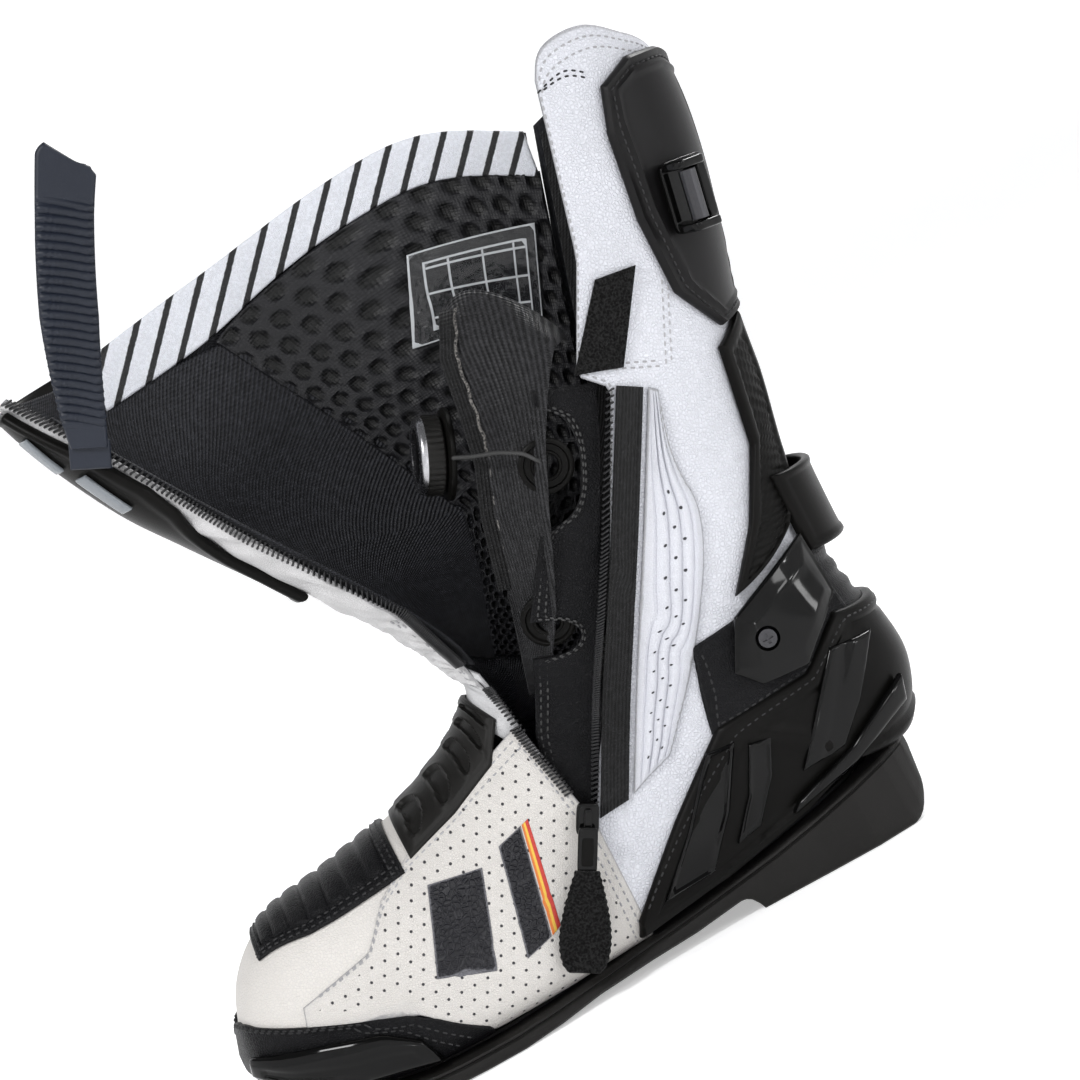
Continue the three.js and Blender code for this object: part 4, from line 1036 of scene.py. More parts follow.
def shell_relief(x, y, rim, u, v):
    """A stitched rim, a step behind it and two soft ridges that sweep back to the heel."""
    near = np.abs(u - 0.5) * 2
    ridge = np.exp(-((near - 0.42 - 0.18 * v) / 0.035) ** 2) * np.clip(v * 3, 0, 1)
    return (1.4 * np.clip((6.5 - rim) / 0.8, 0, 1) - 0.5 * np.clip((rim - 6.5) / 0.8, 0, 1)
            * np.clip((10 - rim) / 2, 0, 1) + 2.2 * ridge * np.clip((rim - 5) / 4, 0, 1))


slab("heel_shell", counter, 2.2, 5.4, satin_plastic, "foot", "satin_plastic", ["heel_counter"],
     step=1.5, rounding=1.4, relief=shell_relief)
sew(side_of(counter, "high", 3.2, 0.02, 0.98), 6.7, color="black")

window = (line((-90, 27), (-68, 46), (-45, 71)), line((-66, 28), (-48, 46), (-32, 70)))
second = (line((-52, 33), (-38, 48), (-28, 66)), line((-40, 35), (-26, 50), (-18, 65)))
insert = (line((-14, 46), (0, 62), (18, 84)), line((6, 47), (20, 60), (35, 80)))
pad = (curve((-39, 76), (-36, 90), (-29, 112)), line((33, 92), (31, 106), (24, 122)),
       line((-39, 76), (-20, 76), (6, 78), (33, 92)), curve((-29, 112), (0, 114), (24, 122)))
heel_slider = (line((-26, 34), (-22, 37)), line((33, 50), (36, 60)),
               line((-26, 34), (6, 40), (33, 50)), line((-22, 37), (8, 46), (36, 60)))
cup = (line((-19, 95), (-9, 115)), line((28, 101), (27, 131)),
       line((-19, 95), (-11, 85), (8, 83), (28, 101)), line((-9, 115), (27, 131)))
arm_right = np.concatenate([line((27, 136), (36, 150)), [[14, 168], [15.2, 172], [15.9, 170]]])
arm = (line((-4, 122), (14, 144), (30, 172), (38, 214)), arm_right)


def both(edges):
    """The same patch on the outer and the inner side."""
    return {"lateral": filled(*edges), "medial": filled(*(back_mirror(e) for e in edges))}


slab("heel_slider_plate", filled(*heel_slider), 5.6, 10, gloss_plastic, "foot",
     "gloss_plastic", ["heel_slider"], step=1.5, rounding=2.0)
for side in ("lateral", "medial"):
    slab("heel_window_plate_" + side, both(window)[side], 5, 8, gloss_plastic, "foot",
         "gloss_plastic", ["heel_window_" + side], step=1.2, rounding=1.8,
         relief=lambda x, y, rim, u, v: -1.4 * np.clip((rim - 1.8) / 1.0, 0, 1))
    slab("heel_facet_" + side, both(second)[side], 5, 7.6, gloss_plastic, "foot",
         "gloss_plastic", step=1.5, rounding=1.0,
         relief=lambda x, y, rim, u, v: -1.2 * np.clip((rim - 1.6) / 1.0, 0, 1))
    slab("heel_insert_plate_" + side, both(insert)[side], 5, 8.0, gloss_plastic, "foot",
         "gloss_plastic", ["heel_insert_" + side], step=1.5, rounding=1.8,
         relief=lambda x, y, rim, u, v: -1.0 * np.clip(1 - np.abs(u - 0.5 + 0.2 * v) * 5, 0, 1))
    soft_pad = slab("ankle_cushion_" + side, both(pad)[side], 1.8, 4.4, black_leather, "foot",
                    "black_leather", ["ankle_pad_" + side], step=1.5, rounding=1.6,
                    relief=lambda x, y, rim, u, v: 0.5 * np.clip((5.2 - rim) / 0.8, 0, 1))
    for edge in ("left", "low", "right"):
        sew(side_of(both(pad)[side], edge, 2.8, 0.05, 0.95), 5.0, color="black")
print("heel done")

# %% [markdown]
# The brace holds the ankle: a dished cup with a screw at the pivot, and an arm that sweeps up
# the shaft from the cup. The arm has a rounded frame and a textured strip let into it. The cup
# has a round eye where the screw passes.

# %% Brace
def arm_relief(x, y, rim, u, v):
    """A recess along the middle with a row of slanted ribs in it."""
    sunk = np.clip((rim - 4.0) / 1.2, 0, 1)
    return -1.3 * sunk + 0.7 * sunk * np.clip(np.sin((y + 0.7 * x) * math.tau / 4.2) * 2, 0, 1)


def cup_relief(x, y, rim, u, v):
    """Flat facets: bevelled sides, and a crease from the low front to the high rear corner."""
    return 2.2 * np.clip((rim - 1.2) / 6.5, 0, 1) - 1.1 * np.clip((u - 0.62) / 0.38, 0, 1)


for side in ("lateral", "medial"):
    sign = -1 if side == "lateral" else 1
    slab("brace_bar_" + side, both(arm)[side], 2.4, 7, satin_plastic, "shaft", "satin_plastic",
         ["brace_arm_" + side], step=1.2, rounding=1.5, relief=arm_relief)
    plate = slab("pivot_cup_" + side, both(cup)[side], 6.3, 9.9, gloss_plastic, "shaft",
                 "gloss_plastic", ["ankle_cup_" + side], step=1.0, rounding=1.3,
                 relief=cup_relief)
    bpy.ops.mesh.primitive_cylinder_add(vertices=48, radius=5.2 * MM, depth=0.06,
                                        location=(0, sign * 0.05, 0.101),
                                        rotation=(math.pi / 2, 0, 0))
    drill = bpy.context.object
    cut = plate.modifiers.new("eye", "BOOLEAN")
    cut.object, cut.solver = drill, "EXACT"
    bpy.context.view_layer.objects.active = plate
    bpy.ops.object.modifier_apply(modifier="eye")
    bpy.data.objects.remove(drill)
loop_patch = filled(np.array([(12.3, 149), (13.7, 149)], float),
                    np.array([(12.3, 211), (13.7, 211)], float))


def loop_height(u, v):
    """Low at both ends, where it meets the arms, and free of the leather behind."""
    return 3.4 + 7.2 * np.sin(math.pi * u) ** 0.45


slab("rear_loop", loop_patch, loop_height, lambda u, v: loop_height(u, v) + 3.0, satin_plastic,
     "shaft", "satin_plastic", ["achilles_loop"], step=1.0, rounding=1.2,
     relief=border(4.0, 0.6))
sleeve = filled(line((6, 84), (6, 117)), back_mirror(line((6, 84), (6, 117))),
                round_back(line((6, 84), (27, 92)), 11.2, line((6, 84), (27, 92))),
                round_back(line((6, 117), (30, 126)), 12.5, line((6, 117), (30, 126))))
slab("rear_sleeve", sleeve, 1.6, 2.8, black_leather, ANKLE, "black_leather", step=2,
     relief=lambda x, y, rim, u, v: 0.6 * np.sin(v * math.tau * 4) * np.clip(rim / 3, 0, 1))

# %% [markdown]
# Between the quarter and the zip runs a panel quilted into upright channels, with tiny holes in
# it. The zip tape is a stiff ribbed ribbon; the zip's teeth sit on the front edge of it. A
# patch of hook tape above holds the pull tab when the boot is closed.

# %% Quilted panel and rear zip
quilt = filled(line((-79, 70), (6, 215)),
               curve((-58, 77), (-29, 108), (2, 156), (0, 185), (9, 212)))


def quilt_relief(x, y, rim, u, v):
    """Plump channels with a narrow valley between them."""
    return 2.2 * np.abs(np.sin(u * math.pi * 5)) ** 0.55 * np.clip(rim / 3.5, 0, 1)


quilted = slab("quilted_gusset", quilt, 2, 3.4, white_quilted, ANKLE, "white_leather",
               ["quilted_panel"], step=1.2, relief=quilt_relief)
double_sew(quilt, "right", 1.2, 3.6, start=0.02, end=0.98, motion=ANKLE)

tape_patch = filled(line((-96, 68), (-5, 222)), line((-82, 69), (4, 216)))
slab("rear_tape", tape_patch, 2, 4.2, zip_tape, ANKLE, "zip_tape", ["zip_tape_rear"],
     step=1.6, rounding=0.5,
     relief=lambda x, y, rim, u, v: 0.35 * np.sin(u * math.tau * 3.5))
rear_edge = line((-99.5, 69), (-9.5, 222))
rear_inner = line((-96.5, 69), (-6.5, 222))
teeth("rear_teeth", rear_inner, rear_edge, 4.0, ANKLE, ["zip_teeth_rear"])

hook_patch = filled(line((-18, 234), (8, 264)), line((1, 227), (25, 261)))
slab("hook_pad", hook_patch, 2, 4.4, hook_fabric, "shaft", "hook_fabric", ["hook_patch"],
     step=1.5, rounding=0.9)
print("quilt and zip done")

# %% [markdown]
# The calf plate is a stiff moulded wrap with a stitched raised border and a sunk panel that the
# strap catch sits on.

# %% Calf plate
calf = filled(line((43, 221), (33, 243), (34, 276), (40, 312), (47, 331)),
              np.array([(16, 188), (17.2, 190), (18.5, 188)], float),
              chain(spot(43, 221), [[16, 188]]),
              chain(spot(47, 331), [[18.80, 152], [18.74, 168], [18.5, 188]]))
slab("calf_guard", calf, 2.4, 6.0, guard_plastic, "shaft", "satin_plastic", ["calf_plate"],
     step=1.2, rounding=1.4,
     relief=lambda x, y, rim, u, v: 1.3 * (np.exp(-((rim - 1.8) / 1.0) ** 2)
                                           + np.exp(-((rim - 6.8) / 1.0) ** 2)))
for side, span in (("left", (0.05, 0.96)), ("high", (0.05, 0.9)), ("low", (0.1, 0.9))):
    sew(side_of(calf, side, 4.2, *span), 6.3, color="black", motion="shaft")

# %% [markdown]
# The front leaf lies folded open. Its outer face is white leather with a shin shell on it; its
# edge at the zip is crumpled from use. The inner face is a plain knitted lining, and the wall
# that stays behind it is lined with an open mesh whose round holes are modelled, as they show
# at this size. A striped collar band runs along the top.

# %% Front leaf and inner wall
shin_right = curve((-111, 134), (-117, 160), (-130, 186), (-165, 238), (-201, 300), (-225, 336))
shin_left = front_mirror(line((-106, 141), (-90, 168), (-82, 195), (-108, 250), (-142, 308),
                              (-148, 336)))
shin_top = chain(front_mirror(curve((-148, 336), (-186, 331), (-210, 327))),
                 outer(-225, 336))
shin = filled(shin_left, shin_right, None, shin_top)


def crumple(x, y, rim, u, v):
    """Soft wrinkles that die out away from the zip edge."""
    near = np.clip((u - 0.55) / 0.4, 0, 1)
    return near * (1.1 * np.sin(y / 4.1 + 2.4 * np.sin(x / 9)) * np.sin(x / 5 + y / 17)
                   + 0.6 * np.sin(y / 1.9 + 1.7 * np.sin(x / 4)))


slab("shin_leaf", shin, 0, 2, leaf_leather, "shin", "white_leather", ["shin_panel"],
     step=1.6, relief=crumple, backing=twill_lining)
double_sew(shin, "right", 3.0, 2.0, start=0.03, end=0.5, motion="shin")
shin_in = filled(front_mirror(line((-104, 138), (-90, 166), (-81, 196), (-105, 250),
                                   (-137, 309))),
                 curve((-112, 146), (-115, 160), (-128, 186), (-164, 239), (-201, 300),
                       (-214, 320)))
slab("shin_lining_cloth", shin_in, -3.0, -1.3, twill_lining, "shin", "knit_lining",
     ["shin_lining"], step=3, inside=True,
     relief=lambda x, y, rim, u, v: 0.4 * np.sin(x / 14) * np.sin(y / 17))

shell = filled(np.array([(14.5, -36), (15.5, -42), (18.7, -38)], float),
               np.array([(14.5, 14), (15.5, 17), (16.15, 24), (16.6, 30), (17.1, 31.5),
                         (17.7, 28), (18.3, 20), (18.7, 14)], float))
slab("shin_guard", shell, 2, 6, satin_plastic, "shin", "satin_plastic", ["shin_shell"],
     step=1.8, rounding=1.6, relief=border(5.0, 0.9))
for name, t0, t1, a0, a1 in (("upper", 17.75, 18.3, 11, 16), ("lower", 17.0, 17.6, 16, 21.5)):
    lens = filled(np.array([(t0, a0), (t1, a0)], float), np.array([(t0, a1), (t1, a1)], float))
    slab("lens_" + name, lens, 6.0, 8.4, clear_plastic, "shin", "clear_plastic",
         ["shell_insert_" + name], step=1.2, rounding=1.0)

teeth("front_teeth", line((-111.5, 150), (-122.5, 184), (-161.5, 238), (-197.5, 300),
                          (-221.5, 336)),
      line((-115, 150), (-126, 184), (-165, 238), (-201, 300), (-225, 336)), 3.6, "shin",
      ["zip_teeth_front"])
teeth("instep_teeth", line((-104, 82), (-108, 104), (-110, 116)),
      line((-100.5, 82), (-104.5, 104), (-106.5, 116)), 3.6, "foot", ["zip_teeth_instep"])

crease_patch = filled(
    front_mirror(line((-62, 102), (-58, 132))), line((-104, 100), (-111, 142)),
    chain(front_mirror(line((-62, 102), (-90, 104), (-112, 110))), [[5.7, 0]],
          line((-112, 110), (-104, 100))),
    chain(front_mirror(line((-58, 132), (-88, 142), (-106, 150))), [[9.9, 0]],
          line((-116, 148), (-111, 142))))
slab("instep_crease", crease_patch, -1.2, 0.4, white_crumpled, ANKLE, "white_leather",
     step=1.5, backing=twill_lining,
     relief=lambda x, y, rim, u, v: 0.8 * np.sin(y / 2.3 + np.sin(x / 9)) * np.sin(x / 13))
teeth("crease_teeth", line((-108, 112), (-111, 136)), line((-105, 112), (-108, 136)), 2.2,
      "shaft", [])

wall_left = front_mirror(line((-103, 143), (-90, 170), (-82.5, 195), (-110, 250), (-144, 308),
                              (-147, 335)))
wall_low = front_mirror(line((-103, 143), (-88, 132), (-70, 123)))
wall_high = front_mirror(curve((-147, 335), (-125, 338), (-72, 346), (-24, 347), (16, 325)))
wall_right = front_mirror(line((-70, 123), (-26, 200), (16, 325)))
slab("inner_wall", filled(wall_left, wall_right, wall_low, wall_high), 0, 2, white_smooth,
     FOLD, "white_leather", ["medial_wall"], step=3, backing=twill_lining)

mesh_patch = filled(front_mirror(line((-104, 140), (-92, 170), (-85, 196), (-110, 251),
                                      (-142, 311))),
                    front_mirror(line((-62, 118), (-20, 200), (14, 308))),
                    front_mirror(line((-104, 140), (-86, 128), (-62, 118))),
                    front_mirror(curve((-142, 311), (-125, 318), (-72, 328), (-26, 328),
                                       (14, 308))))


def mesh_relief(x, y, rim, u, v):
    """Round pits on a staggered grid, 7 mm apart, each in a plump ring of threads."""
    pitch = 7.2
    row = y / (pitch * 0.866)
    dx = ((x / pitch + 0.5 * (np.floor(row) % 2)) % 1 - 0.5) * pitch
    dy = (row % 1 - 0.5) * pitch * 0.866
    away_mm = np.hypot(dx, dy)
    ring = 0.55 * np.exp(-((away_mm - 2.9) / 0.55) ** 2)
    return ring - 1.5 * np.clip((2.5 - away_mm) / 0.7, 0, 1)


slab("mesh_wall", mesh_patch, -4, -1.3, mesh_lining, FOLD, "mesh_lining", ["medial_lining"],
     step=0.95, inside=True, relief=mesh_relief)

collar = filled(front_mirror(line((-196, 308), (-204, 329))),
                front_mirror(line((13, 306), (16, 326))),
                front_mirror(curve((-196, 308), (-170, 310), (-142, 313), (-110, 322),
                                   (-72, 328), (-26, 328), (13, 306))),
                front_mirror(curve((-204, 329), (-186, 332), (-150, 337), (-125, 340),
                                   (-72, 348), (-24, 349), (16, 326))))
soft_band = slab("collar_trim", collar, -4.4, -1.3, striped_leather, FOLD, "striped_leather",
                 ["collar_band"], step=1.8, inside=True, rounding=1.2)
label = filled(front_mirror(line((-70, 268), (-53, 304))),
               front_mirror(line((-16, 250), (2, 290))))
slab("blank_label", label, -6, -5, label_film, FOLD, "clear_plastic", ["size_label"],
     step=2.5, inside=True, rounding=0.3)
print("front leaf done")

# %% [markdown]
# Inside the shaft a soft leather flap covers the rear zip. Two half-round notches in its front
# edge leave room for the round lace guides. The gusset at the ankle and the rear lining are
# knitted cloth glued in.

# %% Inner flap and linings
def flat_size(surface):
    """Greatest width and length of surface(u, v) in metres, and its area in square metres."""
    grid = surface(*np.meshgrid(np.linspace(0, 1, 48), np.linspace(0, 1, 120))) * MM
    across, down = np.diff(grid, axis=1), np.diff(grid, axis=0)
    area = np.linalg.norm(np.cross(across[:-1], down[:, :-1]), axis=-1).sum()
    size = (np.linalg.norm(across, axis=-1).sum(1).max(),
            np.linalg.norm(down, axis=-1).sum(0).max())
    return size, float(area)


def notched(left, right, notches, radius):
    """A strip between two edges with half-round notches in the left one."""
    width, length = sizes(filled(left, right))

    def at(u, v):
        u, v = np.broadcast_arrays(u, v)
        cut = np.zeros(v.shape)
        for centre, offset in notches:
            d = (v - centre) * length
            cut = np.maximum(cut, (offset + np.sqrt(np.clip(radius**2 - d**2, 0, None)))
                             * (np.abs(d) < radius))
        a, b = along(left, v), along(right, v)
        cut = np.clip(cut / width, 0, 0.8)
        return a + (b - a) * (cut + (1 - cut) * u)[..., None]
    return at


flap = notched(line((-103, 74), (-108, 92), (-104, 110), (-84, 150), (-52, 195), (-36, 236)),
               line((-98, 70), (-82, 92), (-62, 128), (-20, 205), (-10, 226)),
               ((0.535, 6.0), (0.90, 3.0)), 14.0)
cover = slab("zip_cover_flap", flap, -7.0, -5.0, black_leather, "shaft", "black_leather",
             ["inner_flap"], step=1.3, rounding=0.8,
             relief=lambda x, y, rim, u, v: 0.5 * np.sin(y / 11 + np.sin(x / 9)))
cover_flat, cover_area = flat_size(lambda u, v: raised(*np.moveaxis(flap(u, v), -1, 0), -6.0))
sew(side_of(flap, "left", 2.6, 0.02, 0.98), -4.9, color="grey", motion="shaft", length=2.2)
sew(side_of(flap, "left", 5.2, 0.02, 0.98), -4.9, color="grey", motion="shaft", length=2.2)

rear_in = filled(line((-50, 128), (-6, 214), (8, 270), (30, 340)),
                 back_mirror(line((-58, 128), (-18, 200), (22, 322))),
                 round_back(line((-50, 128), (0, 116)), 12.6, line((-58, 128), (0, 116))),
                 round_back(line((30, 340), (50, 348)), 18.45, line((22, 320), (50, 327))))
slab("rear_cloth", rear_in, -4, -1.3, knit_lining, "shaft", "knit_lining", ["rear_lining"],
     step=3, inside=True)
gusset_low = line((-70, 88), (-30, 90), (10, 92))
gusset_high = line((-62, 118), (-28, 116), (4, 113))
in_low = line((-86, 92), (-30, 90), (10, 92))
in_high = line((-88, 128), (-28, 116), (4, 113))
gusset = filled(chain(gusset_low[0], gusset_high[0]), back_mirror(chain(in_low[0], in_high[0])),
                round_back(gusset_low, 11.35, in_low),
                round_back(gusset_high, 12.4, in_high))
slab("ankle_cloth", gusset, -3.4, -1.2, knit_lining, ANKLE, "knit_lining", ["ankle_gusset"],
     step=2.5, inside=True)

# %% [markdown]
# Turned parts are a profile spun round an axis: the lace guides, the dial's base and the dial,
# whose rim has fine grips all round and a bright ring near its face.

# %% Guides and dial
def turned(name, profile, origin, axis, material, motion, slot, nodes=(), sides=64, grips=0):
    """A closed profile of (radius, height) spun round the axis; grips press flutes in the rim."""
    axis = Vector(axis).normalized()
    side = axis.orthogonal().normalized()
    other = axis.cross(side)
    frame_3 = np.array([side, other, axis])
    angle = np.linspace(0, math.tau, sides, endpoint=False)
    radius, height = np.array(profile, float).T
    r, a = np.meshgrid(radius, angle, indexing="ij")
    h = np.broadcast_to(height[:, None], r.shape)
    if grips:
        r = r - 0.55 * (np.cos(a * grips) > 0.1) * (r > max(radius) - 0.6)
    points = np.stack([r * np.cos(a), r * np.sin(a), h], -1).reshape(-1, 3) @ frame_3
    points = points + np.asarray(origin, float)
    rows = len(radius)
    closed = radius[0] > 0
    faces = [tuple(f) for f in grid_faces(rows, sides, closed=True)]
    if closed:
        faces += [tuple(f) for f in np.stack([
            (rows - 1) * sides + np.arange(sides), (rows - 1) * sides + (np.arange(sides) + 1)
            % sides, (np.arange(sides) + 1) % sides, np.arange(sides)], -1)]
    else:
        faces = faces[sides:-sides]
        faces += [tuple(sides + np.arange(sides))[::-1],
                  tuple((rows - 2) * sides + np.arange(sides))]
    obj = mesh_object(name, points, faces, material)
    if not closed:
        shape = bmesh.new()
        shape.from_mesh(obj.data)
        bmesh.ops.delete(shape, geom=[v for v in shape.verts if not v.link_faces],
                         context="VERTS")
        shape.to_mesh(obj.data)
        shape.free()
    return place(obj, motion, slot, nodes)


for name, x, z in (("lace_guide_upper", -45, 206), ("lace_guide_lower", -77, 147)):
    t, a = outer(x, z)
    normal = skin_normal(np.array(t), np.array(a))
    centre = raised(t, a, -10.5).ravel()
    turned(name + "_ring", [(5, 0), (11, 0), (11.6, 0.8), (11.6, 2.6), (10.6, 3.4), (9.6, 3.4),
                            (9.0, 2.3), (6.6, 2.3), (6.2, 3.0), (5.4, 3.0), (5.0, 2.6)],
           centre, normal, satin_plastic, "shaft", "satin_plastic", [name], sides=48)
FACE = np.array([-0.8996, -0.1200, 0.4198])
DIAL = np.array([-82.0, -2.0, 228.0]) - 5.0 * FACE
turned("dial_seat", [(0, 0), (19, 0), (19.5, 0.6), (19.5, 2.2), (18.2, 3.1), (0, 3.1)], DIAL,
       FACE, satin_plastic, "shaft", "satin_plastic", ["dial_base"])
turned("dial_knob", [(0, 3.5), (15.5, 3.5), (17, 4.6), (17, 5.2), (17, 10.6), (16.4, 11.4),
                     (0, 11.4)], DIAL, FACE, black_rubber, "dial", "black_rubber", ["dial"],
       sides=144, grips=36)
turned("dial_ring", [(11.5, 11.3), (16.2, 11.3), (16.2, 13.1), (15.2, 14.4), (12.4, 14.8),
                     (11.5, 14.2)], DIAL, FACE, dial_metal, "dial", "dial_metal")
turned("dial_cap", [(0, 11.3), (11.2, 11.3), (11.2, 13.2), (9.8, 14.2), (0, 14.6)], DIAL, FACE,
       gloss_plastic, "dial", "gloss_plastic", sides=48)

# %% [markdown]
# Free-form cloths and straps are a surface given by a function, made a few millimetres thick
# along its own normal. The tongue is a knitted gusset that has sprung out of the open ankle; a
# raw, frayed elastic runs down its front edge.

# %% Tongue
def thickened(name, surface, thick, columns, rows, material, rounding=0.6):
    """Both faces of surface(u, v), thick apart along its normal, with rounded closed sides."""
    u, v = np.meshgrid(np.linspace(0, 1, columns), np.linspace(0, 1, rows))
    p = surface(u, v)
    e = 1e-3
    normal = np.cross(surface(u + e, v) - surface(u - e, v), surface(u, v + e)
                      - surface(u, v - e))
    normal /= np.linalg.norm(normal, axis=-1, keepdims=True)
    width = np.linalg.norm(np.diff(p, axis=1), axis=-1).sum(1)[:, None]
    length = np.linalg.norm(np.diff(p, axis=0), axis=-1).sum(0)[None]
    rim = np.minimum(np.minimum(u, 1 - u) * width, np.minimum(v, 1 - v) * length)
    half = thick / 2 - rounding * (1 - np.sqrt(1 - np.clip(1 - rim / rounding, 0, 1) ** 2))
    half = half * np.ones_like(rim)
    points = np.concatenate([(p + normal * half[..., None]).reshape(-1, 3),
                             (p - normal * half[..., None]).reshape(-1, 3)])
    flat = np.tile(np.stack([u * width.mean(), v * length.mean()], -1).reshape(-1, 2), (2, 1))
    return mesh_object(name, points, shell_faces(rows, columns), material, flat,
                       rim=np.tile(rim.ravel(), 2))


TONGUE = np.array([  # height share, front x, front z, rear x, rear z
    (0.0, -97, 124, -88, 122), (0.25, -86, 160, -70, 152), (0.5, -76, 198, -53, 190),
    (0.62, -68, 218, -41, 215), (0.75, -64, 238, -30, 233), (0.88, -60, 262, -19, 250),
    (1.0, -50, 279, -12, 257),
])


def tongue_surface(u, v):
    """A strip that widens to its top, with lengthwise folds and a bulge at the top."""
    row = [np.interp(v, TONGUE[:, 0], TONGUE[:, k]) for k in range(1, 5)]
    x, z = row[0] + u * (row[2] - row[0]), row[1] + u * (row[3] - row[1])
    top = np.clip((v - 0.72) / 0.28, 0, 1)
    dome = 15.0 * np.sin(math.pi * np.clip(u, 0, 1)) ** 0.7 * top**1.5 - 9 * u * top**2
    lean = np.clip(u, 0, 1) ** 1.5 * np.clip(v * 2.5, 0, 1)
    y = (-21 - 27.0 * lean + 2.0 * np.sin(u * 9 + v * 5) * v
         + 1.0 * np.sin(v * 26 + u * 4) * v + 9.0 * np.clip((v - 0.88) / 0.12, 0, 1) ** 2)
    return np.stack([x, y, z + dome], -1)


def binding_surface(u, v):
    """A flat elastic that runs down in front of the tongue's front edge."""
    edge = tongue_surface(0 * u + 0.04, 0.3 + 0.69 * v)
    return edge + np.stack([(u - 0.62) * 6.5, -1.8 + 0 * u, (u - 0.5) * -1.4], -1)


def fray_surface(u, v):
    """The raw rear rim of the elastic, a thin uneven line."""
    return binding_surface(0.96 + 0.2 * u + 0.05 * np.sin(v * 70), v) + np.array([0, -0.9, 0])


tongue = thickened("tongue_cloth", tongue_surface, 1.6, 48, 120, tongue_knit)
frayed = fuzzy("frayed_edge", (0.03, 0.03, 0.03), (0.20, 0.19, 0.18))
binding = thickened("tongue_elastic", binding_surface, 1.4, 10, 90, zip_tape)
fray = thickened("elastic_fray", fray_surface, 0.9, 5, 160, frayed, rounding=0.3)
place(tongue, "shaft", "knit_lining", ["tongue"])
place(binding, "shaft", "knit_lining")
place(fray, "shaft", "knit_lining")
tongue_flat, tongue_area = flat_size(tongue_surface)

# %% [markdown]
# The closing lace is a thin waxed cord from the dial to the upper guide. It is a curve with a
# round section.

# %% Lace
lace_points = np.array([(-77, -26, 226), (-69, -33, 223), (-60, -40, 220.5), (-51, -48, 216),
                        (-45, -45, 207)], float)
smooth_lace = np.stack([np.interp(np.linspace(0, 4, 41), np.arange(5), lace_points[:, k])
                        for k in range(3)], -1)
for _ in range(6):
    smooth_lace[1:-1] = (smooth_lace[:-2] + 2 * smooth_lace[1:-1] + smooth_lace[2:]) / 4
lace_curve = bpy.data.curves.new("lace_cord", "CURVE")
lace_curve.dimensions = "3D"
lace_curve.bevel_depth = 0.9 * MM
lace_curve.bevel_resolution = 3
lace_curve.use_fill_caps = True
spline = lace_curve.splines.new("POLY")
spline.points.add(len(smooth_lace) - 1)
for point, place_mm in zip(spline.points, smooth_lace):
    point.co = (*(place_mm * MM), 1)
lace = bpy.data.objects.new("lace_cord", lace_curve)
bpy.context.scene.collection.objects.link(lace)


def lace_finish():
    """A tight braid: fine diagonal strands."""
    shader = Shader("lace_braid")
    strands = shader.noise(2600, 2.0)
    return shader.finish(shader.mix(strands, (0.008, 0.008, 0.008), (0.05, 0.05, 0.05)), 0.6,
                         strands, 0.2)


lace_curve.materials.append(lace_finish())
place(lace, "shaft", "knit_lining", ["lace"])

# %% [markdown]
# The closing strap is a moulded rubber ladder that swings from the front leaf. Its ribs run a
# little aslant, and the catch's roller grips them.

# %% Strap
ROOT, TIP = np.array([-204.0, -42, 303]), np.array([-154.0, -48, 411])
ACROSS, FRONT = np.array([0.8976, 0, -0.4408]), np.array([-0.0212, -0.9988, -0.0431])


def strap_surface(u, v):
    """A bowed ladder: round ribs across its middle, a plain slanted tip, a narrower root."""
    w = 24 * (0.62 + 0.38 * np.clip(v * 2.2, 0, 1) ** 0.7)
    w = w * np.sqrt(1 - 0.5 * np.clip((v - 0.965) / 0.035, 0, 1) ** 2)
    run = v - (u - 0.5) * 0.10 * np.clip((v - 0.8) / 0.2, 0, 1)
    bow = -15 * (v - v * v)
    phase = math.tau * (v * 34 + 1.2 * u + 0.8 * (u - 0.5) ** 2)
    rib = (0.95 * (np.sin(phase) + 0.3 * np.sin(2 * phase)) * np.clip(v * 30 - 2, 0, 1)
           * np.clip((0.86 - v) * 30, 0, 1) * np.clip((0.47 - np.abs(u - 0.5)) * 18, 0, 1))
    return (ROOT + (TIP - ROOT) * run[..., None] + ACROSS * ((u - 0.5) * w + bow)[..., None]
            + FRONT * (5.0 * np.sin(v * math.pi) + rib)[..., None])


def keeper_surface(u, v):
    """A small plate that holds the strap's root to the front leaf."""
    lift = (TIP - ROOT) / np.linalg.norm(TIP - ROOT)
    return (ROOT - FRONT * 2.4 + ACROSS * ((u - 0.5) * 17)[..., None]
            + lift * (v * 12 - 9)[..., None])


strap = thickened("strap_ladder", strap_surface, 3.0, 26, 420, strap_rubber, rounding=1.0)
place(strap, "strap", "black_rubber", ["strap"])
keeper = thickened("strap_keeper", keeper_surface, 2.2, 24, 16, strap_rubber, rounding=0.9)
place(keeper, "shin", "satin_plastic", ["strap_anchor"])

# %% [markdown]
# The zip slider is a small die casting with a bridge; a bar hangs from it, and a fuzzy loop tab
# is sewn to the bar so that it can be pressed on the hook patch.

# %% Slider and pull
WAY = np.array([0.50197, -0.04369, 0.86378])
OUT = np.array([-0.0220, -0.9990, -0.0378])
SIDE = np.array([0.8646, 0, -0.5024])
START = np.array([-98.865, -44.151, 73.881])


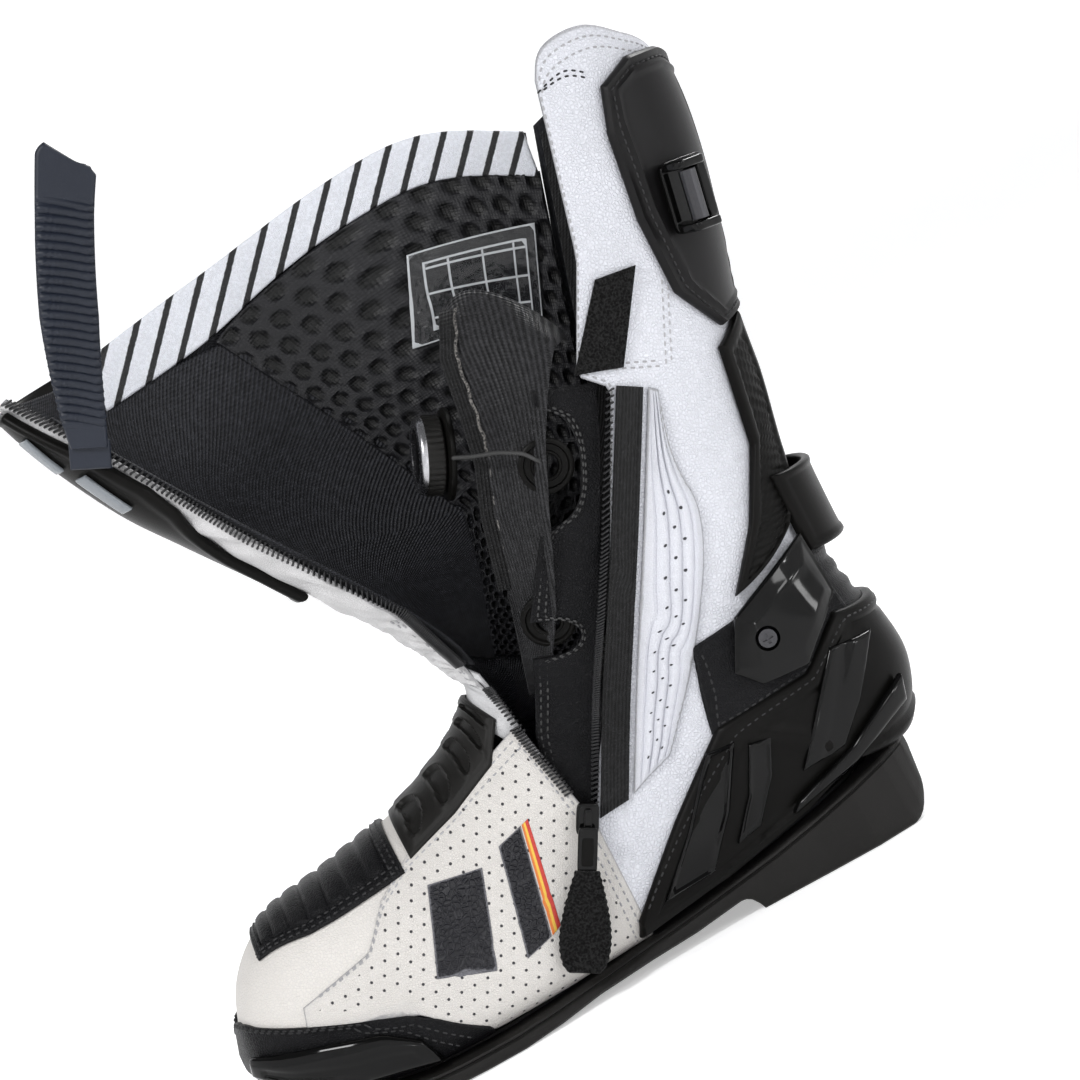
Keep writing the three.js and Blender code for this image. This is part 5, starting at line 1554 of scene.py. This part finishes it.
def pebble_block(name, centre, size, power, material, motion, slot, nodes=(), origin=START,
                 axes=np.array([SIDE, WAY, OUT])):
    """A rounded block: a superellipsoid with that power, in the slider's own frame."""
    a, b = np.meshgrid(np.linspace(0, math.tau, 49)[:-1], np.linspace(-1.5, 1.5, 25))

    def bent(x):
        return np.sign(x) * np.abs(x) ** (2 / power)
    unit = np.stack([bent(np.cos(b)) * bent(np.cos(a)), bent(np.cos(b)) * bent(np.sin(a)),
                     bent(np.sin(b))], -1).reshape(-1, 3)
    local = np.asarray(centre) + unit * np.asarray(size) / 2
    points = origin + local @ axes
    faces = [tuple(f) for f in grid_faces(25, 48, closed=True)]
    faces += [tuple(range(48))[::-1], tuple(range(24 * 48, 25 * 48))]
    return place(mesh_object(name, points, faces, material), motion, slot, nodes)


CATCH_UP = np.array([0.2, 0, 1])
CATCH_AT, CATCH_HEIGHT = (17.35, 152), 7.4


def pebble_at_catch(name, centre, size, power, material, nodes=()):
    """A rounded block in the frame of the catch, which stands on the calf plate."""
    out = skin_normal(*CATCH_AT)
    up_side = CATCH_UP - out * (CATCH_UP @ out)
    up_side = up_side / np.linalg.norm(up_side)
    axes = np.array([np.cross(up_side, out), up_side, out])
    return pebble_block(name, centre, size, power, material, "shaft", "gloss_plastic", nodes,
                        origin=raised(*CATCH_AT, CATCH_HEIGHT), axes=axes)


pebble_at_catch("catch_plate", (0, 0, 1.5), (26, 30, 3), 9, gloss_plastic, ["catch_base"])
for name, y in (("high", 13), ("low", -13)):
    pebble_at_catch("catch_cheek_" + name, (-5.5, y, 8.4), (15, 4, 13), 6, gloss_plastic)
pebble_at_catch("catch_bridge", (5.5, 0, 5.4), (5, 24, 4.6), 6, gloss_plastic)
pebble_block("slider_body", (0, -3, 3.6), (9.5, 14, 3.6), 5, gloss_plastic, "zip_slider",
             "zip_teeth", ["zip_slider"])
pebble_block("slider_bridge", (0, -3, 6.0), (3.4, 10, 3.6), 4, gloss_plastic, "zip_slider",
             "zip_teeth")
pebble_block("pull_tag", (0, -15.2, 9.3), (8.2, 20, 2.2), 7, gloss_plastic, "pull", "zip_teeth",
             ["pull_bar"])
pebble_block("pull_tag_rim", (0, -15.5, 10.1), (5.0, 12, 0.9), 7, satin_plastic, "pull",
             "zip_teeth")


def tab_surface(u, v):
    """A tab from the bar that widens to a rounded end, a little wavy."""
    half = 5 + 6.2 * np.sin(np.minimum(1, 1.25 * v) * math.pi / 2) * np.sqrt(
        np.clip(1.02 - np.clip(v, 0, 1) ** 6, 0.01, 2))
    half = half + 0.25 * np.sin(v * 90)
    local = np.stack([(2 * u - 1) * half, -23 - 43 * v,
                      10.9 + 0.6 * np.sin(v * 5 + u * 2)], -1)
    return START + local @ np.array([SIDE, WAY, OUT])


tab = thickened("pull_loop_tab", tab_surface, 2.4, 24, 60, hook_fabric, rounding=1.0)
place(tab, "pull", "hook_fabric", ["pull_tab"])

# %% [markdown]
# The stitches were heaped up by colour and by what they move with; each heap becomes one mesh.
# The hard parts whose imported shape is already right only get their finishes.

# %% Stitches and carried-over parts
thread = {"white": thread_white, "black": thread_black,
          "grey": moulded("thread_grey", (0.05, 0.05, 0.05), 0.6, 2500, 0.1)}
for number, ((color, motion), heaps) in enumerate(stitch_heaps.items()):
    row = pour(heaps, "stitches_%s_%d" % (color, number), thread[color])
    place(row, motion, "white_leather" if color == "white" else "black_leather")
carried = {"catch_roller": screw_steel, "ankle_screw_lateral": screw_steel,
           "ankle_screw_medial": screw_steel}
for name, material in carried.items():
    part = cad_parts[name]
    part.data.materials.clear()
    part.data.materials.append(material)
